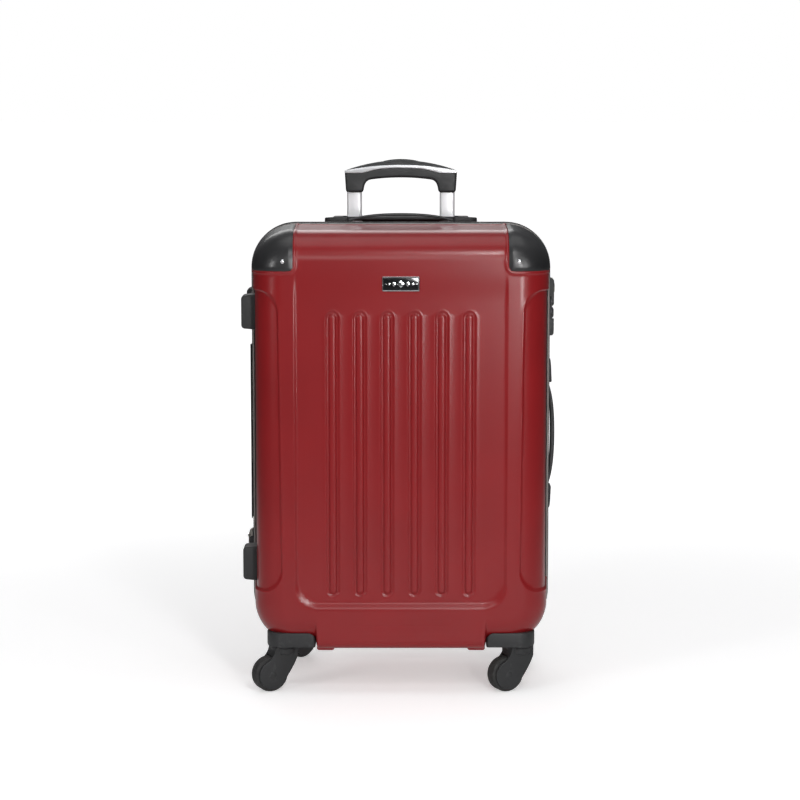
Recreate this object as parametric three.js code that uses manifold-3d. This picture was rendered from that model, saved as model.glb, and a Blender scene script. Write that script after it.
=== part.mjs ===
// A hard shell suitcase on four swivelling casters, in millimetres, +Z up.
// The origin is on the floor under the middle of the case; the front faces -Y.
// The main zip runs round the case in the plane y = 0. The rear half carries the trolley handle, the two
// carry handles and the lock. The front half hangs on a fabric hinge at the left and can move 30 mm
// forwards once the second, expander zip is open.

import * as THREE from "three";
import { mergeVertices } from "three/addons/utils/BufferGeometryUtils.js";
import Module from "manifold-3d";

const wasm = await Module();
wasm.setup();

// ---------------------------------------------------------------- driving dimensions

const HALF_WIDTH = 211; // of the shells, at the zip
const CASE_BOTTOM = 66;
const CASE_TOP = 657.5;
const CORNER = 62; // corner radius of the outline, seen from the front
const EDGE = 42; // radius from a side wall round to the big face
const DRAFT = Math.tan((3 * Math.PI) / 180);
const WALL = 2.2;
const GAP = 0.3; // between pieces that touch

const FRONT = { rim: 20.3, depth: 132 }; // distances from the main zip
const REAR = { rim: 9, depth: 132.4 };

const HEEL = { halfWidth: 118, top: 120, corner: 12 }; // the squarer bottom edge between the casters
const SCALLOP = { depth: 2.6, x: 166, bottom: 148.6, top: 570.4, corner: 28 };
const PANEL = { depth: 3, halfWidth: 147, bottom: 128.7, top: 593 };
const RIB = { count: 6, pitch: 37.9, width: 10, bottom: 145.7, top: 541.5, proud: 0.6 };

const BAND_PROUD = 2.5; // how far the zip tapes stand out of the shells
const BAND_INSIDE = 1.5;

const FOOT = { out: 224, near: 45, far: 80, height: 50, upper: 512, lower: 154 };
const GUARD = { x: 149, z: 598, proud: 1.6, corner: 9 };

const CASTER = { x: 167, distance: 92, trail: 21, wheelRadius: 25, wheelWidth: 19, neckTop: 67.6 };
const HOUSING = { inner: 120, outer: 189, front: 126.5, back: 60, bottom: 68, top: 88 };

const TROLLEY = { x: 68.2, y: 110 };
const INNER_TUBE = { width: 22, depth: 12, wall: 1.1, bottom: 240, top: 712 };
const MIDDLE_TUBE = { width: 25.2, depth: 15.2, wall: 1.2, bottom: 191, top: 661 };
const OUTER_TUBE = { width: 28.4, depth: 18.4, wall: 1.2, bottom: 89, top: 652 };
const BEZEL = { halfWidth: 100, near: 88, far: 130, top: 662, collarNear: 97.5, collarFar: 122.5 };
const GRIP = { legBottom: 697, legInner: 55, legOuter: 80.5, shoulder: 82.5, shoulderTop: 729, top: 744 };

const HANDLE = { halfLength: 110, width: 30, capLength: 34, capHeight: 8.4, top: 13 };
const LOCK = { near: 12, far: 40, bottom: 495, top: 577, face: 220.5 };
const DIAL = { radius: 6, thickness: 5.4, pitch: 6.4, first: 503.2, x: 215.4, y: 26 };

// ---------------------------------------------------------------- finishes

const finish = (color, roughness, metalness = 0) =>
  new THREE.MeshStandardMaterial({ color, roughness, metalness });

const FINISHES = {
  shell: finish(0x97282d, 0.38),
  guard: finish(0x1b1b1d, 0.3),
  blackPlastic: finish(0x222224, 0.55),
  rubber: finish(0x1d1d1e, 0.85),
  tape: finish(0x26262a, 0.9),
  lining: finish(0x4a4a50, 0.95),
  aluminium: finish(0xd8dade, 0.25, 1),
  chrome: finish(0xe6e6e8, 0.1, 1),
  steel: finish(0x9a9ca0, 0.35, 1),
};

// ---------------------------------------------------------------- solids

/** A closed three.js geometry as a manifold-3d solid. */
function solid(geometry) {
  const bare = geometry.clone();
  bare.deleteAttribute("normal");
  bare.deleteAttribute("uv");
  const merged = mergeVertices(bare, 1e-4);
  const vertProperties = merged.attributes.position.array;
  const triVerts = new Uint32Array(merged.index.array);
  return new wasm.Manifold(new wasm.Mesh({ numProp: 3, vertProperties, triVerts }));
}

/** A manifold-3d solid as a three.js geometry with flat shading. */
function geometryOf(manifold) {
  const mesh = manifold.getMesh();
  const geometry = new THREE.BufferGeometry();
  geometry.setAttribute("position", new THREE.BufferAttribute(mesh.vertProperties, 3));
  geometry.setIndex(new THREE.BufferAttribute(mesh.triVerts, 1));
  const flat = geometry.toNonIndexed();
  flat.computeVertexNormals();
  return flat;
}

/** The same geometry on the other side of the plane y = 0, its faces still pointing out. */
function mirroredInY(geometry) {
  const turned = geometry.clone().scale(1, -1, 1);
  const position = turned.getAttribute("position");
  const array = position.array.slice();
  for (let i = 0; i < array.length; i += 9) {
    for (let k = 0; k < 3; k += 1) {
      [array[i + 3 + k], array[i + 6 + k]] = [array[i + 6 + k], array[i + 3 + k]];
    }
  }
  turned.setAttribute("position", new THREE.BufferAttribute(array, 3));
  turned.computeVertexNormals();
  return turned;
}

function box(x0, x1, y0, y1, z0, z1) {
  const geometry = new THREE.BoxGeometry(x1 - x0, y1 - y0, z1 - z0);
  return geometry.translate((x0 + x1) / 2, (y0 + y1) / 2, (z0 + z1) / 2);
}

/** A rounded rectangle; each corner has its own radius, from lower left anticlockwise. */
function roundedShape(x0, x1, y0, y1, radii) {
  const [lowerLeft, lowerRight, upperRight, upperLeft] = Array.isArray(radii)
    ? radii
    : [radii, radii, radii, radii];
  const shape = new THREE.Shape();
  const corner = (x, y, radius, start) => {
    if (radius > 0) shape.absarc(x, y, radius, start, start + Math.PI / 2, false);
    else shape.lineTo(x, y);
  };
  shape.moveTo(x0 + lowerLeft, y0);
  shape.lineTo(x1 - lowerRight, y0);
  corner(x1 - lowerRight, y0 + lowerRight, lowerRight, -Math.PI / 2);
  corner(x1 - upperRight, y1 - upperRight, upperRight, 0);
  corner(x0 + upperLeft, y1 - upperLeft, upperLeft, Math.PI / 2);
  corner(x0 + lowerLeft, y0 + lowerLeft, lowerLeft, Math.PI);
  return shape;
}

const extruded = (shape, depth, curveSegments) =>
  new THREE.ExtrudeGeometry(shape, { depth, curveSegments, bevelEnabled: false });

/** A shape drawn in x and y, from z0 up to z1. */
const prismZ = (shape, z0, z1, segments = 4) =>
  extruded(shape, z1 - z0, segments).translate(0, 0, z0);

/** A shape drawn in x and z, from y0 back to y1. */
const prismY = (shape, y0, y1, segments = 4) =>
  extruded(shape, y1 - y0, segments)
    .rotateX(Math.PI / 2)
    .translate(0, y1, 0);

/** A shape drawn in y and z, from x0 across to x1. */
const prismX = (shape, x0, x1, segments = 4) =>
  extruded(shape, x1 - x0, segments)
    .rotateX(Math.PI / 2)
    .rotateZ(Math.PI / 2)
    .translate(x0, 0, 0);

/** A cylinder along Z. */
const post = (radius, z0, z1, segments = 16) =>
  new THREE.CylinderGeometry(radius, radius, z1 - z0, segments)
    .rotateX(Math.PI / 2)
    .translate(0, 0, (z0 + z1) / 2);

/** A cylinder along Y, centred. */
const pin = (radius, length, segments = 16) =>
  new THREE.CylinderGeometry(radius, radius, length, segments);

/** A solid through a stack of rings of equal length, closed at both ends. */
function loft(rings) {
  const count = rings[0].length;
  const index = [];
  const at = (ring, i) => ring * count + (i % count);
  for (let k = 0; k + 1 < rings.length; k += 1) {
    for (let i = 0; i < count; i += 1) {
      index.push(at(k, i), at(k, i + 1), at(k + 1, i));
      index.push(at(k, i + 1), at(k + 1, i + 1), at(k + 1, i));
    }
  }
  const last = rings.length - 1;
  for (let i = 1; i + 1 < count; i += 1) {
    index.push(at(0, 0), at(0, i + 1), at(0, i));
    index.push(at(last, 0), at(last, i), at(last, i + 1));
  }
  const geometry = new THREE.BufferGeometry();
  geometry.setAttribute("position", new THREE.Float32BufferAttribute(rings.flat(2), 3));
  geometry.setIndex(index);
  return geometry;
}

// ---------------------------------------------------------------- the form of one half of the case

const CORNER_STEPS = 5;
const EDGE_STEPS = 4;

/** The case's outline, taken in by inset, as points in the plane y. */
function outlineRing(inset, y) {
  const radius = CORNER - inset;
  const x = HALF_WIDTH - inset - radius;
  const low = CASE_BOTTOM + inset + radius;
  const high = CASE_TOP - inset - radius;
  const centres = [
    [x, high],
    [-x, high],
    [-x, low],
    [x, low],
  ];
  return centres.flatMap(([cx, cz], quarter) =>
    Array.from({ length: CORNER_STEPS + 1 }, (_, step) => {
      const angle = ((quarter + step / CORNER_STEPS) * Math.PI) / 2;
      return [cx + radius * Math.cos(angle), y, cz + radius * Math.sin(angle)];
    }),
  );
}

/** One half of the case without its pressed details, grown by offset, from the rim to the big face. */
function plainForm(offset, { rim, depth }) {
  const turn = depth - EDGE;
  const radius = EDGE + offset;
  const rings = [outlineRing(DRAFT * rim - offset, -rim)];
  for (let step = 0; step <= EDGE_STEPS; step += 1) {
    const angle = ((step / EDGE_STEPS) * Math.PI) / 2;
    const inset = DRAFT * turn - offset + radius * (1 - Math.cos(angle));
    rings.push(outlineRing(inset, -(turn + radius * Math.sin(angle))));
  }
  return solid(loft(rings));
}

/** The recess down each side of a half, where the feet and the side handle sit. */
function scallops(offset, half) {
  const floor = plainForm(offset - SCALLOP.depth, half);
  const radius = SCALLOP.corner;
  const edges = [SCALLOP.bottom + offset, SCALLOP.top - offset];
  const left = roundedShape(-300, -SCALLOP.x - offset, ...edges, [0, radius, radius, 0]);
  const right = roundedShape(SCALLOP.x + offset, 300, ...edges, [radius, 0, 0, radius]);
  const cut = solid(prismY(left, -200, 20)).add(solid(prismY(right, -200, 20)));
  return cut.subtract(floor);
}

/** The big face's panel, level at its top and sunk at its bottom. */
function panelRecess(offset, { depth }) {
  const face = -depth - offset;
  const shape = new THREE.Shape();
  shape.moveTo(face - 5, PANEL.top);
  shape.lineTo(face - 5, PANEL.bottom + offset);
  shape.lineTo(face + PANEL.depth, PANEL.bottom + offset);
  shape.lineTo(face, PANEL.top);
  return solid(prismX(shape, -PANEL.halfWidth + offset, PANEL.halfWidth - offset));
}

/** One half of the case with its recesses, grown by offset. */
function pressedForm(offset, half) {
  return plainForm(offset, half).subtract(scallops(offset, half)).subtract(panelRecess(offset, half));
}

const ribX = (i) => (i - (RIB.count - 1) / 2) * RIB.pitch;

/** The six beads down the panel. */
function ribs({ depth }) {
  const bead = (x) => {
    const half = RIB.width / 2;
    const shape = roundedShape(x - half, x + half, RIB.bottom, RIB.top, half - 0.01);
    return solid(prismY(shape, -depth - RIB.proud, -depth + 6, 3));
  };
  return Array.from({ length: RIB.count }, (_, i) => bead(ribX(i)));
}

/** The squarer bottom edge of a half between its casters, grown by offset. */
function heel(offset, { rim, depth }) {
  const radius = HEEL.corner + offset;
  const bottom = CASE_BOTTOM - offset;
  const shape = roundedShape(-depth - offset, -rim, bottom, HEEL.top, [radius, 0, 0, 0]);
  return solid(prismX(shape, -HEEL.halfWidth - offset, HEEL.halfWidth + offset, 4));
}

/** Two moulded skids under a half. */
function skids({ depth }) {
  const skid = (x) => solid(box(x - 12.4, x + 12.4, -depth + 16, -depth + 66, 62.5, 78));
  return [skid(-106), skid(106)];
}

function shell(half) {
  const room = { ...half, rim: half.rim - 8 };
  const inside = pressedForm(-WALL, room).add(heel(-WALL, room));
  const details = [heel(0, half), ...ribs(half), ...skids(half)];
  const outside = details.reduce((a, b) => a.add(b), pressedForm(0, half));
  return outside.subtract(inside);
}

/** The fabric bag inside a half. */
function lining(half) {
  const inner = plainForm(-7, { ...half, rim: half.rim - 8 });
  return plainForm(-5.8, { ...half, rim: half.rim + 0.7 }).subtract(inner);
}

/** A flat ring round the case between two offsets from its outline. */
function ring(outer, inner, near, far) {
  const shapeAt = (offset) =>
    roundedShape(
      -HALF_WIDTH - offset,
      HALF_WIDTH + offset,
      CASE_BOTTOM - offset,
      CASE_TOP + offset,
      CORNER + offset,
    );
  const shape = shapeAt(outer);
  shape.holes.push(new THREE.Path(shapeAt(inner).getPoints(5)));
  return solid(prismY(shape, -far, -near, 5));
}

/** The cap over an upper corner of a half; side is -1 for the left and 1 for the right. */
function cornerGuard(half, side) {
  const x = [side * GUARD.x, side * 300].sort((a, b) => a - b);
  const radii = side < 0 ? [0, GUARD.corner, 0, 0] : [GUARD.corner, 0, 0, 0];
  const cut = solid(prismY(roundedShape(x[0], x[1], GUARD.z, 700, radii), -200, -half.rim - 1, 3));
  return plainForm(GUARD.proud, half).intersect(cut).subtract(plainForm(GAP, half));
}

/** A foot on the left wall that the case lies on. */
function sideFoot(half, bottom) {
  const shape = roundedShape(-FOOT.out, -200, bottom, bottom + FOOT.height, [5, 0, 0, 5]);
  const block = solid(prismY(shape, -FOOT.far, -FOOT.near, 3));
  return block.subtract(pressedForm(GAP, half));
}

/** The moulded seat of a caster on a lower corner, with the socket of its swivel pin. */
function casterHousing(half, side) {
  const front = HOUSING.front + half.depth - FRONT.depth;
  const [x0, x1] = side < 0 ? [-HOUSING.outer, -HOUSING.inner] : [HOUSING.inner, HOUSING.outer];
  const faceRadii = side < 0 ? [3, 2, 13, 3] : [2, 3, 3, 13];
  const planRadii = side < 0 ? [22, 4, 4, 10] : [4, 22, 10, 4];
  const face = prismY(roundedShape(x0, x1, HOUSING.bottom, HOUSING.top, faceRadii), -front, -HOUSING.back, 3);
  const plan = prismZ(roundedShape(x0, x1, -front, -HOUSING.back, planRadii), 50, 100, 3);
  const socket = post(6, 60, 71.5, 12).translate(side * CASTER.x, -CASTER.distance, 0);
  return solid(face).intersect(solid(plan)).subtract(pressedForm(GAP, half)).subtract(solid(socket));
}

// ---------------------------------------------------------------- casters

/** A swivelling fork, drawn with its swivel axis on Z and its wheel trailing along +X. */
function casterFork() {
  const { trail, wheelRadius, wheelWidth, neckTop } = CASTER;
  const half = wheelWidth / 2 + 0.8 + 3.1;
  const arm = new THREE.Shape();
  arm.moveTo(-17, neckTop - 1);
  arm.lineTo(-17, 49);
  arm.lineTo(2.5, 17);
  arm.absarc(trail, wheelRadius, 20.3, Math.PI + 0.4, 2 * Math.PI + 0.9, false);
  arm.lineTo(19, 52);
  arm.lineTo(16, neckTop - 1);
  const slot = pin(wheelRadius + 1.4, wheelWidth + 1.6, 20).translate(trail, 0, wheelRadius);
  const bore = pin(3.4, 60, 12).translate(trail, 0, wheelRadius);
  return solid(post(17.5, 53, neckTop, 20))
    .add(solid(prismY(arm, -half, half, 8)))
    .subtract(solid(slot))
    .subtract(solid(bore))
    .add(solid(post(5, neckTop - 2, 70.5, 12)));
}

/** A wheel about the Y axis: rubber tyre, plastic hub and its bore. */
function casterWheel() {
  const half = CASTER.wheelWidth / 2;
  const radius = CASTER.wheelRadius;
  const profile = [
    [3.4, -half + 1],
    [17, -half + 1],
    [18, -half],
    [radius - 2, -half],
    [radius, -half + 3],
    [radius, half - 3],
    [radius - 2, half],
    [18, half],
    [17, half - 1],
    [3.4, half - 1],
    [3.4, -half + 1],
  ];
  const points = profile.map(([r, y]) => new THREE.Vector2(r, y));
  return new THREE.LatheGeometry(points, 20);
}

// ---------------------------------------------------------------- trolley handle

const tubeShape = (width, depth, radius) =>
  roundedShape(-width / 2, width / 2, -depth / 2, depth / 2, radius);

/** A flat-sided tube standing at x on the trolley's line. */
function trolleyTube({ width, depth, wall, bottom, top }, x) {
  const shape = tubeShape(width, depth, 4.6);
  shape.holes.push(new THREE.Path(tubeShape(width - 2 * wall, depth - 2 * wall, 3.5).getPoints(2)));
  return prismZ(shape, bottom, top, 2).translate(x, TROLLEY.y, 0);
}

/** The black surround that the tubes rise out of, with a collar through the top of the rear shell. */
function trolleyBezel() {
  const { halfWidth, near, far, top, collarNear, collarFar } = BEZEL;
  const plate = prismZ(roundedShape(-halfWidth, halfWidth, near, far, 12), 600, top, 4);
  const body = solid(plate).subtract(solid(mirroredInY(geometryOf(pressedForm(GAP, REAR)))));
  const collar = solid(box(-88, 88, collarNear, collarFar, 628, top - 4));
  const holes = [-TROLLEY.x, TROLLEY.x].flatMap((x) => {
    const sleeve = prismZ(tubeShape(OUTER_TUBE.width + 0.6, OUTER_TUBE.depth + 0.6, 4.9), 600, 652.4, 2);
    const way = prismZ(tubeShape(MIDDLE_TUBE.width + 0.7, MIDDLE_TUBE.depth + 0.7, 4.9), 600, 700, 2);
    return [sleeve, way].map((g) => solid(g.translate(x, TROLLEY.y, 0)));
  });
  return holes.reduce((a, b) => a.subtract(b), body.add(collar));
}

/** The block at the foot of the outer tubes, inside the rear half. */
function trolleyBracket() {
  const inside = solid(mirroredInY(geometryOf(plainForm(-WALL - GAP, REAR))));
  const pockets = [-TROLLEY.x, TROLLEY.x].map((x) => {
    const shape = tubeShape(OUTER_TUBE.width + 0.6, OUTER_TUBE.depth + 0.6, 4.9);
    return solid(prismZ(shape, OUTER_TUBE.bottom - GAP, 200, 2).translate(x, TROLLEY.y, 0));
  });
  const block = solid(box(-88, 88, 97.5, 122.5, 60, 100)).intersect(inside);
  return pockets.reduce((a, b) => a.subtract(b), block);
}

/** The grip: an arched bar on two legs. */
function gripBody() {
  const { legBottom, legInner, legOuter, shoulder, shoulderTop, top } = GRIP;
  const shape = new THREE.Shape();
  shape.moveTo(-legOuter, legBottom);
  shape.lineTo(-legInner, legBottom);
  shape.quadraticCurveTo(-legInner + 1, legBottom + 17, -legInner + 14, legBottom + 19);
  shape.quadraticCurveTo(0, legBottom + 23, legInner - 14, legBottom + 19);
  shape.quadraticCurveTo(legInner - 1, legBottom + 17, legInner, legBottom);
  shape.lineTo(legOuter, legBottom);
  shape.lineTo(shoulder, shoulderTop);
  shape.quadraticCurveTo(0, 2 * top - shoulderTop, -shoulder, shoulderTop);
  const bar = solid(prismY(shape, TROLLEY.y - 13, TROLLEY.y + 13, 8));
  const sockets = [-TROLLEY.x, TROLLEY.x].map((x) => {
    const socket = tubeShape(INNER_TUBE.width + 0.6, INNER_TUBE.depth + 0.6, 4.9);
    return solid(prismZ(socket, 600, INNER_TUBE.top + GAP, 2).translate(x, TROLLEY.y, 0));
  });
  const pocket = solid(box(-26, 26, TROLLEY.y - 8, TROLLEY.y + 8, 733, 760));
  return [...sockets, pocket].reduce((a, b) => a.subtract(b), bar);
}

/** The release button in the top of the grip. */
function gripButton() {
  const shape = new THREE.Shape();
  shape.moveTo(-25.4, 737.2);
  shape.lineTo(25.4, 737.2);
  shape.lineTo(25.4, 743.2);
  shape.quadraticCurveTo(0, 748.4, -25.4, 743.2);
  return prismY(shape, TROLLEY.y - 7.4, TROLLEY.y + 7.4, 6);
}

/** The bright crescent on the front of the grip. */
function gripInlay() {
  const face = TROLLEY.y - 13 - GAP;
  const shape = new THREE.Shape();
  shape.moveTo(-81, 725.8);
  shape.lineTo(-54, 725.8);
  shape.quadraticCurveTo(0, 740.5, 54, 725.8);
  shape.lineTo(81, 725.8);
  shape.lineTo(81, 728.2);
  shape.quadraticCurveTo(0, 751, -81, 728.2);
  return prismY(shape, face - 1.5, face, 8);
}

// ---------------------------------------------------------------- carry handles

/** The seat of a carry handle, drawn along X with its underside at z = -pad: a plate and two hollow caps. */
function handleBase(pad) {
  const { halfLength, width, capLength, capHeight } = HANDLE;
  const half = width / 2;
  const plate = prismZ(roundedShape(-halfLength, halfLength, -half, half, 9), -pad, 0.4, 3);
  const cap = prismZ(roundedShape(-halfLength, halfLength, -half, half, 9), -pad, capHeight, 3);
  const middle = box(-halfLength + capLength, halfLength - capLength, -half - 1, half + 1, 0.4, 50);
  const pocket = box(-halfLength + 5, halfLength - 5, -11.8, 11.8, 0.4, capHeight - 1.4);
  return solid(plate).add(solid(cap)).subtract(solid(middle)).subtract(solid(pocket));
}

/** The strap of a carry handle: an arched grip whose thin ends lie in the caps. */
function handleStrap() {
  const { halfLength, capLength, top } = HANDLE;
  const end = halfLength - 7;
  const neck = halfLength - capLength - 1;
  const shape = new THREE.Shape();
  shape.moveTo(-end, 0.8);
  shape.lineTo(-neck + 4, 0.8);
  shape.quadraticCurveTo(-neck + 16, 8.6, 0, 8.6);
  shape.quadraticCurveTo(neck - 16, 8.6, neck - 4, 0.8);
  shape.lineTo(end, 0.8);
  shape.lineTo(end, 3.6);
  shape.lineTo(neck, 3.6);
  shape.quadraticCurveTo(neck - 22, top, 0, top);
  shape.quadraticCurveTo(-neck + 22, top, -neck, 3.6);
  shape.lineTo(-end, 3.6);
  return prismY(shape, -11, 11, 5);
}

// ---------------------------------------------------------------- lock and zips

const dialZ = (i) => DIAL.first + i * DIAL.pitch;

/** The lock's body on the right wall, with the dials' spindle and the pocket of its button. */
function lockHousing() {
  const outer = roundedShape(200, LOCK.face, LOCK.bottom, LOCK.top, [0, 3, 3, 0]);
  const wall = solid(mirroredInY(geometryOf(pressedForm(GAP, REAR))));
  const dialRoom = box(180, 230, DIAL.y - 7, DIAL.y + 7, DIAL.first - 3.4, dialZ(2) + 3.4);
  const back = box(206, 208, DIAL.y - 7, DIAL.y + 7, DIAL.first - 3.4, dialZ(2) + 3.4);
  const spindle = post(1.5, DIAL.first - 4, dialZ(2) + 4, 8).translate(DIAL.x, DIAL.y, 0);
  const pocket = box(214, 230, 19.5, 32.5, 556, 571);
  return solid(prismY(outer, LOCK.near, LOCK.far, 3))
    .subtract(solid(dialRoom))
    .add(solid(back).subtract(wall))
    .add(solid(spindle))
    .subtract(solid(pocket))
    .subtract(wall);
}

/** A number wheel of the lock, about Z. */
function lockDial() {
  const half = DIAL.thickness / 2;
  const wheel = solid(post(DIAL.radius, -half, half, 20));
  return wheel.subtract(solid(post(2, -20, 20, 8)));
}

/** A zip slider on the right wall, with its pull tab lying towards the lock. */
function lockSlider() {
  const body = prismZ(roundedShape(213.8, 218.6, -4.2, 4.2, [0, 2, 2, 0]), -5.5, 5.5, 3);
  const tab = box(216.2, 217.8, 3, 11.4, -3.2, 3.2);
  return solid(body).add(solid(tab));
}

/** The expander zip's slider on the left wall. */
function expanderSlider() {
  const body = prismZ(roundedShape(-217.8, -213.8, -16.5, -8.3, [2, 0, 0, 2]), 207, 217, 3);
  const eye = box(-220.4, -216.5, -14, -10.8, 206, 210);
  const hole = pin(0.9, 20, 8).translate(-219.2, -12.4, 207.4);
  return solid(body).add(solid(eye)).subtract(solid(hole));
}

/** Its pull: a small flat ring hanging from a cross bar. */
function expanderPull() {
  const bar = pin(0.6, 7.2, 8).translate(-219.2, -12.4, 207.4);
  const open = roundedShape(-16.1, -8.7, 193, 208.2, [3, 3, 0, 0]);
  const window = roundedShape(-14.4, -10.4, 197, 227, 1.2);
  const frame = solid(prismX(open, -219.8, -218.6, 3)).subtract(solid(prismX(window, -230, -200, 3)));
  return frame.add(solid(bar));
}

// ---------------------------------------------------------------- assembly

const suitcase = new THREE.Group();

/** Adds one named piece and returns its mesh. */
function piece(name, made, material, parent = suitcase) {
  const geometry = made.isBufferGeometry ? made : geometryOf(made);
  const mesh = new THREE.Mesh(geometry, material);
  mesh.name = name;
  parent.add(mesh);
  return mesh;
}

/** Adds a piece that is drawn on the front half, mirrored if it belongs to the rear half. */
function halfPiece(name, made, material, isRear) {
  const geometry = geometryOf(made);
  return piece(name, isRear ? mirroredInY(geometry) : geometry, material);
}

function buildHalf(label, half) {
  const isRear = label === "rear";
  const add = (name, made, material) => halfPiece(`${label}_${name}`, made, material, isRear);
  if (!isRear) {
    add("shell", shell(half), FINISHES.shell);
    add("lining", lining(half), FINISHES.lining);
  } else {
    const collarWay = solid(box(-88.6, 88.6, -BEZEL.collarFar - 0.6, -BEZEL.collarNear + 0.6, 600, 700));
    const tubeRoom = solid(box(-92, 92, -200, -94.5, 0, 700));
    const tubeCover = solid(box(-93.2, 93.2, -200, -93.3, 0, 700));
    const bagInside = plainForm(-7, { ...half, rim: half.rim - 8 }).subtract(tubeCover);
    const bag = plainForm(-5.8, { ...half, rim: half.rim + 0.7 }).subtract(tubeRoom);
    add("shell", shell(half).subtract(collarWay), FINISHES.shell);
    add("lining", bag.subtract(bagInside), FINISHES.lining);
  }
  add("guard_left", cornerGuard(half, -1), FINISHES.guard);
  add("guard_right", cornerGuard(half, 1), FINISHES.guard);
  add("foot_upper", sideFoot(half, FOOT.upper), FINISHES.blackPlastic);
  add("foot_lower", sideFoot(half, FOOT.lower), FINISHES.blackPlastic);
  add("caster_housing_left", casterHousing(half, -1), FINISHES.blackPlastic);
  add("caster_housing_right", casterHousing(half, 1), FINISHES.blackPlastic);
}

/** The tapes of both zips, the expander's folded cloth and the cloth hinge. */
function buildZips() {
  piece("rear_zip_band", ring(BAND_PROUD, -BAND_INSIDE, -8.7, -0.2), FINISHES.tape);
  piece("middle_zip_band", ring(BAND_PROUD, -BAND_INSIDE, 0.2, 12.2), FINISHES.tape);
  piece("front_zip_band", ring(BAND_PROUD, -BAND_INSIDE, 12.5, 20), FINISHES.tape);
  piece("expander_gusset", ring(-1.8, -3, 12.6, 19.6), FINISHES.tape);
  const hinge = roundedShape(-217, -213.8, -8, -0.5, [1.2, 0, 0, 1.2]);
  piece("cloth_hinge", prismZ(hinge, 232, 484, 2), FINISHES.tape);
  const upper = piece("lock_slider_upper", lockSlider(), FINISHES.steel);
  const lower = piece("lock_slider_lower", lockSlider(), FINISHES.steel);
  upper.position.z = 548;
  lower.position.z = 534;
  piece("expander_slider", expanderSlider(), FINISHES.steel);
  piece("expander_pull", expanderPull(), FINISHES.steel);
}

function buildLock() {
  piece("lock_housing", lockHousing(), FINISHES.blackPlastic);
  piece("lock_button", box(216.4, 221.8, 20, 32, 556.6, 570.4), FINISHES.steel);
  for (let i = 0; i < 3; i += 1) {
    const dial = piece(`lock_dial_${i + 1}`, lockDial(), FINISHES.blackPlastic);
    dial.position.set(DIAL.x, DIAL.y, dialZ(i));
  }
}

/** The plate on the front face: a bright frame round a plain black plate. */
function buildBadge() {
  const y = -FRONT.depth - GAP;
  const shape = roundedShape(-26, 26, 570.2, 591, 1.6);
  shape.holes.push(new THREE.Path(roundedShape(-22.6, 22.6, 573.4, 587.8, 0.6).getPoints(2)));
  piece("badge_frame", prismY(shape, -134, y, 2), FINISHES.chrome);
  piece("badge_plate", box(-22.3, 22.3, -133.4, y, 573.7, 587.5), FINISHES.blackPlastic);
}

/** Each caster trails its own way, in degrees from +X towards +Y. */
const CASTER_PLACES = {
  front_left: { side: -1, row: -1, heading: 205 },
  front_right: { side: 1, row: -1, heading: 205 },
  rear_left: { side: -1, row: 1, heading: 45 },
  rear_right: { side: 1, row: 1, heading: 265 },
};

function buildCasters() {
  for (const [place, { side, row, heading }] of Object.entries(CASTER_PLACES)) {
    const caster = new THREE.Group();
    caster.position.set(side * CASTER.x, row * CASTER.distance, 0);
    caster.rotation.z = (heading * Math.PI) / 180;
    piece(`fork_${place}`, casterFork(), FINISHES.blackPlastic, caster);
    const wheel = piece(`wheel_${place}`, casterWheel(), FINISHES.rubber, caster);
    const axle = piece(`axle_${place}`, pin(3, 26, 12), FINISHES.steel, caster);
    wheel.position.set(CASTER.trail, 0, CASTER.wheelRadius);
    axle.position.copy(wheel.position);
    suitcase.add(caster);
  }
}

function buildTrolley() {
  piece("trolley_bezel", trolleyBezel(), FINISHES.blackPlastic);
  piece("trolley_bracket", trolleyBracket(), FINISHES.blackPlastic);
  for (const [side, x] of [
    ["left", -TROLLEY.x],
    ["right", TROLLEY.x],
  ]) {
    piece(`outer_tube_${side}`, trolleyTube(OUTER_TUBE, x), FINISHES.aluminium);
    piece(`middle_tube_${side}`, trolleyTube(MIDDLE_TUBE, x), FINISHES.aluminium);
    piece(`inner_tube_${side}`, trolleyTube(INNER_TUBE, x), FINISHES.aluminium);
  }
  piece("grip_body", gripBody(), FINISHES.blackPlastic);
  piece("grip_button", gripButton(), FINISHES.blackPlastic);
  piece("grip_inlay", gripInlay(), FINISHES.chrome);
}

/** The two carry handles: one on top of the rear half and one on its right wall. */
function buildCarryHandles() {
  const tilt = Math.atan(DRAFT);
  const y = 44;
  const sink = DRAFT * y;
  const top = new THREE.Group();
  top.position.set(0, y, CASE_TOP - sink + 1.6);
  top.rotation.x = -tilt;
  piece("top_handle_base", handleBase(1.1), FINISHES.blackPlastic, top);
  piece("top_handle_strap", handleStrap(), FINISHES.blackPlastic, top);
  const right = new THREE.Group();
  right.position.set(FOOT.out - HANDLE.top, y, 349);
  right.rotation.y = Math.PI / 2;
  piece("side_handle_base", handleBase(3.8), FINISHES.blackPlastic, right);
  piece("side_handle_strap", handleStrap(), FINISHES.blackPlastic, right);
  suitcase.add(top, right);
}

/** The cloth panel that closes off the front half's packing space. */
function buildDivider() {
  const inset = 9.8;
  const x = HALF_WIDTH - inset;
  const shape = roundedShape(-x, x, CASE_BOTTOM + inset, CASE_TOP - inset, CORNER - inset);
  piece("divider_panel", prismY(shape, -26.5, -25, 5), FINISHES.lining);
}

buildHalf("front", FRONT);
buildHalf("rear", REAR);
buildZips();
buildLock();
buildBadge();
buildCasters();
buildTrolley();
buildCarryHandles();
buildDivider();

export default suitcase;
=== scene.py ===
import logging
import math
from collections.abc import Callable, Sequence
from dataclasses import dataclass, field
from enum import Enum

import bpy
import numpy as np
from mathutils import Matrix, Vector


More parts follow.
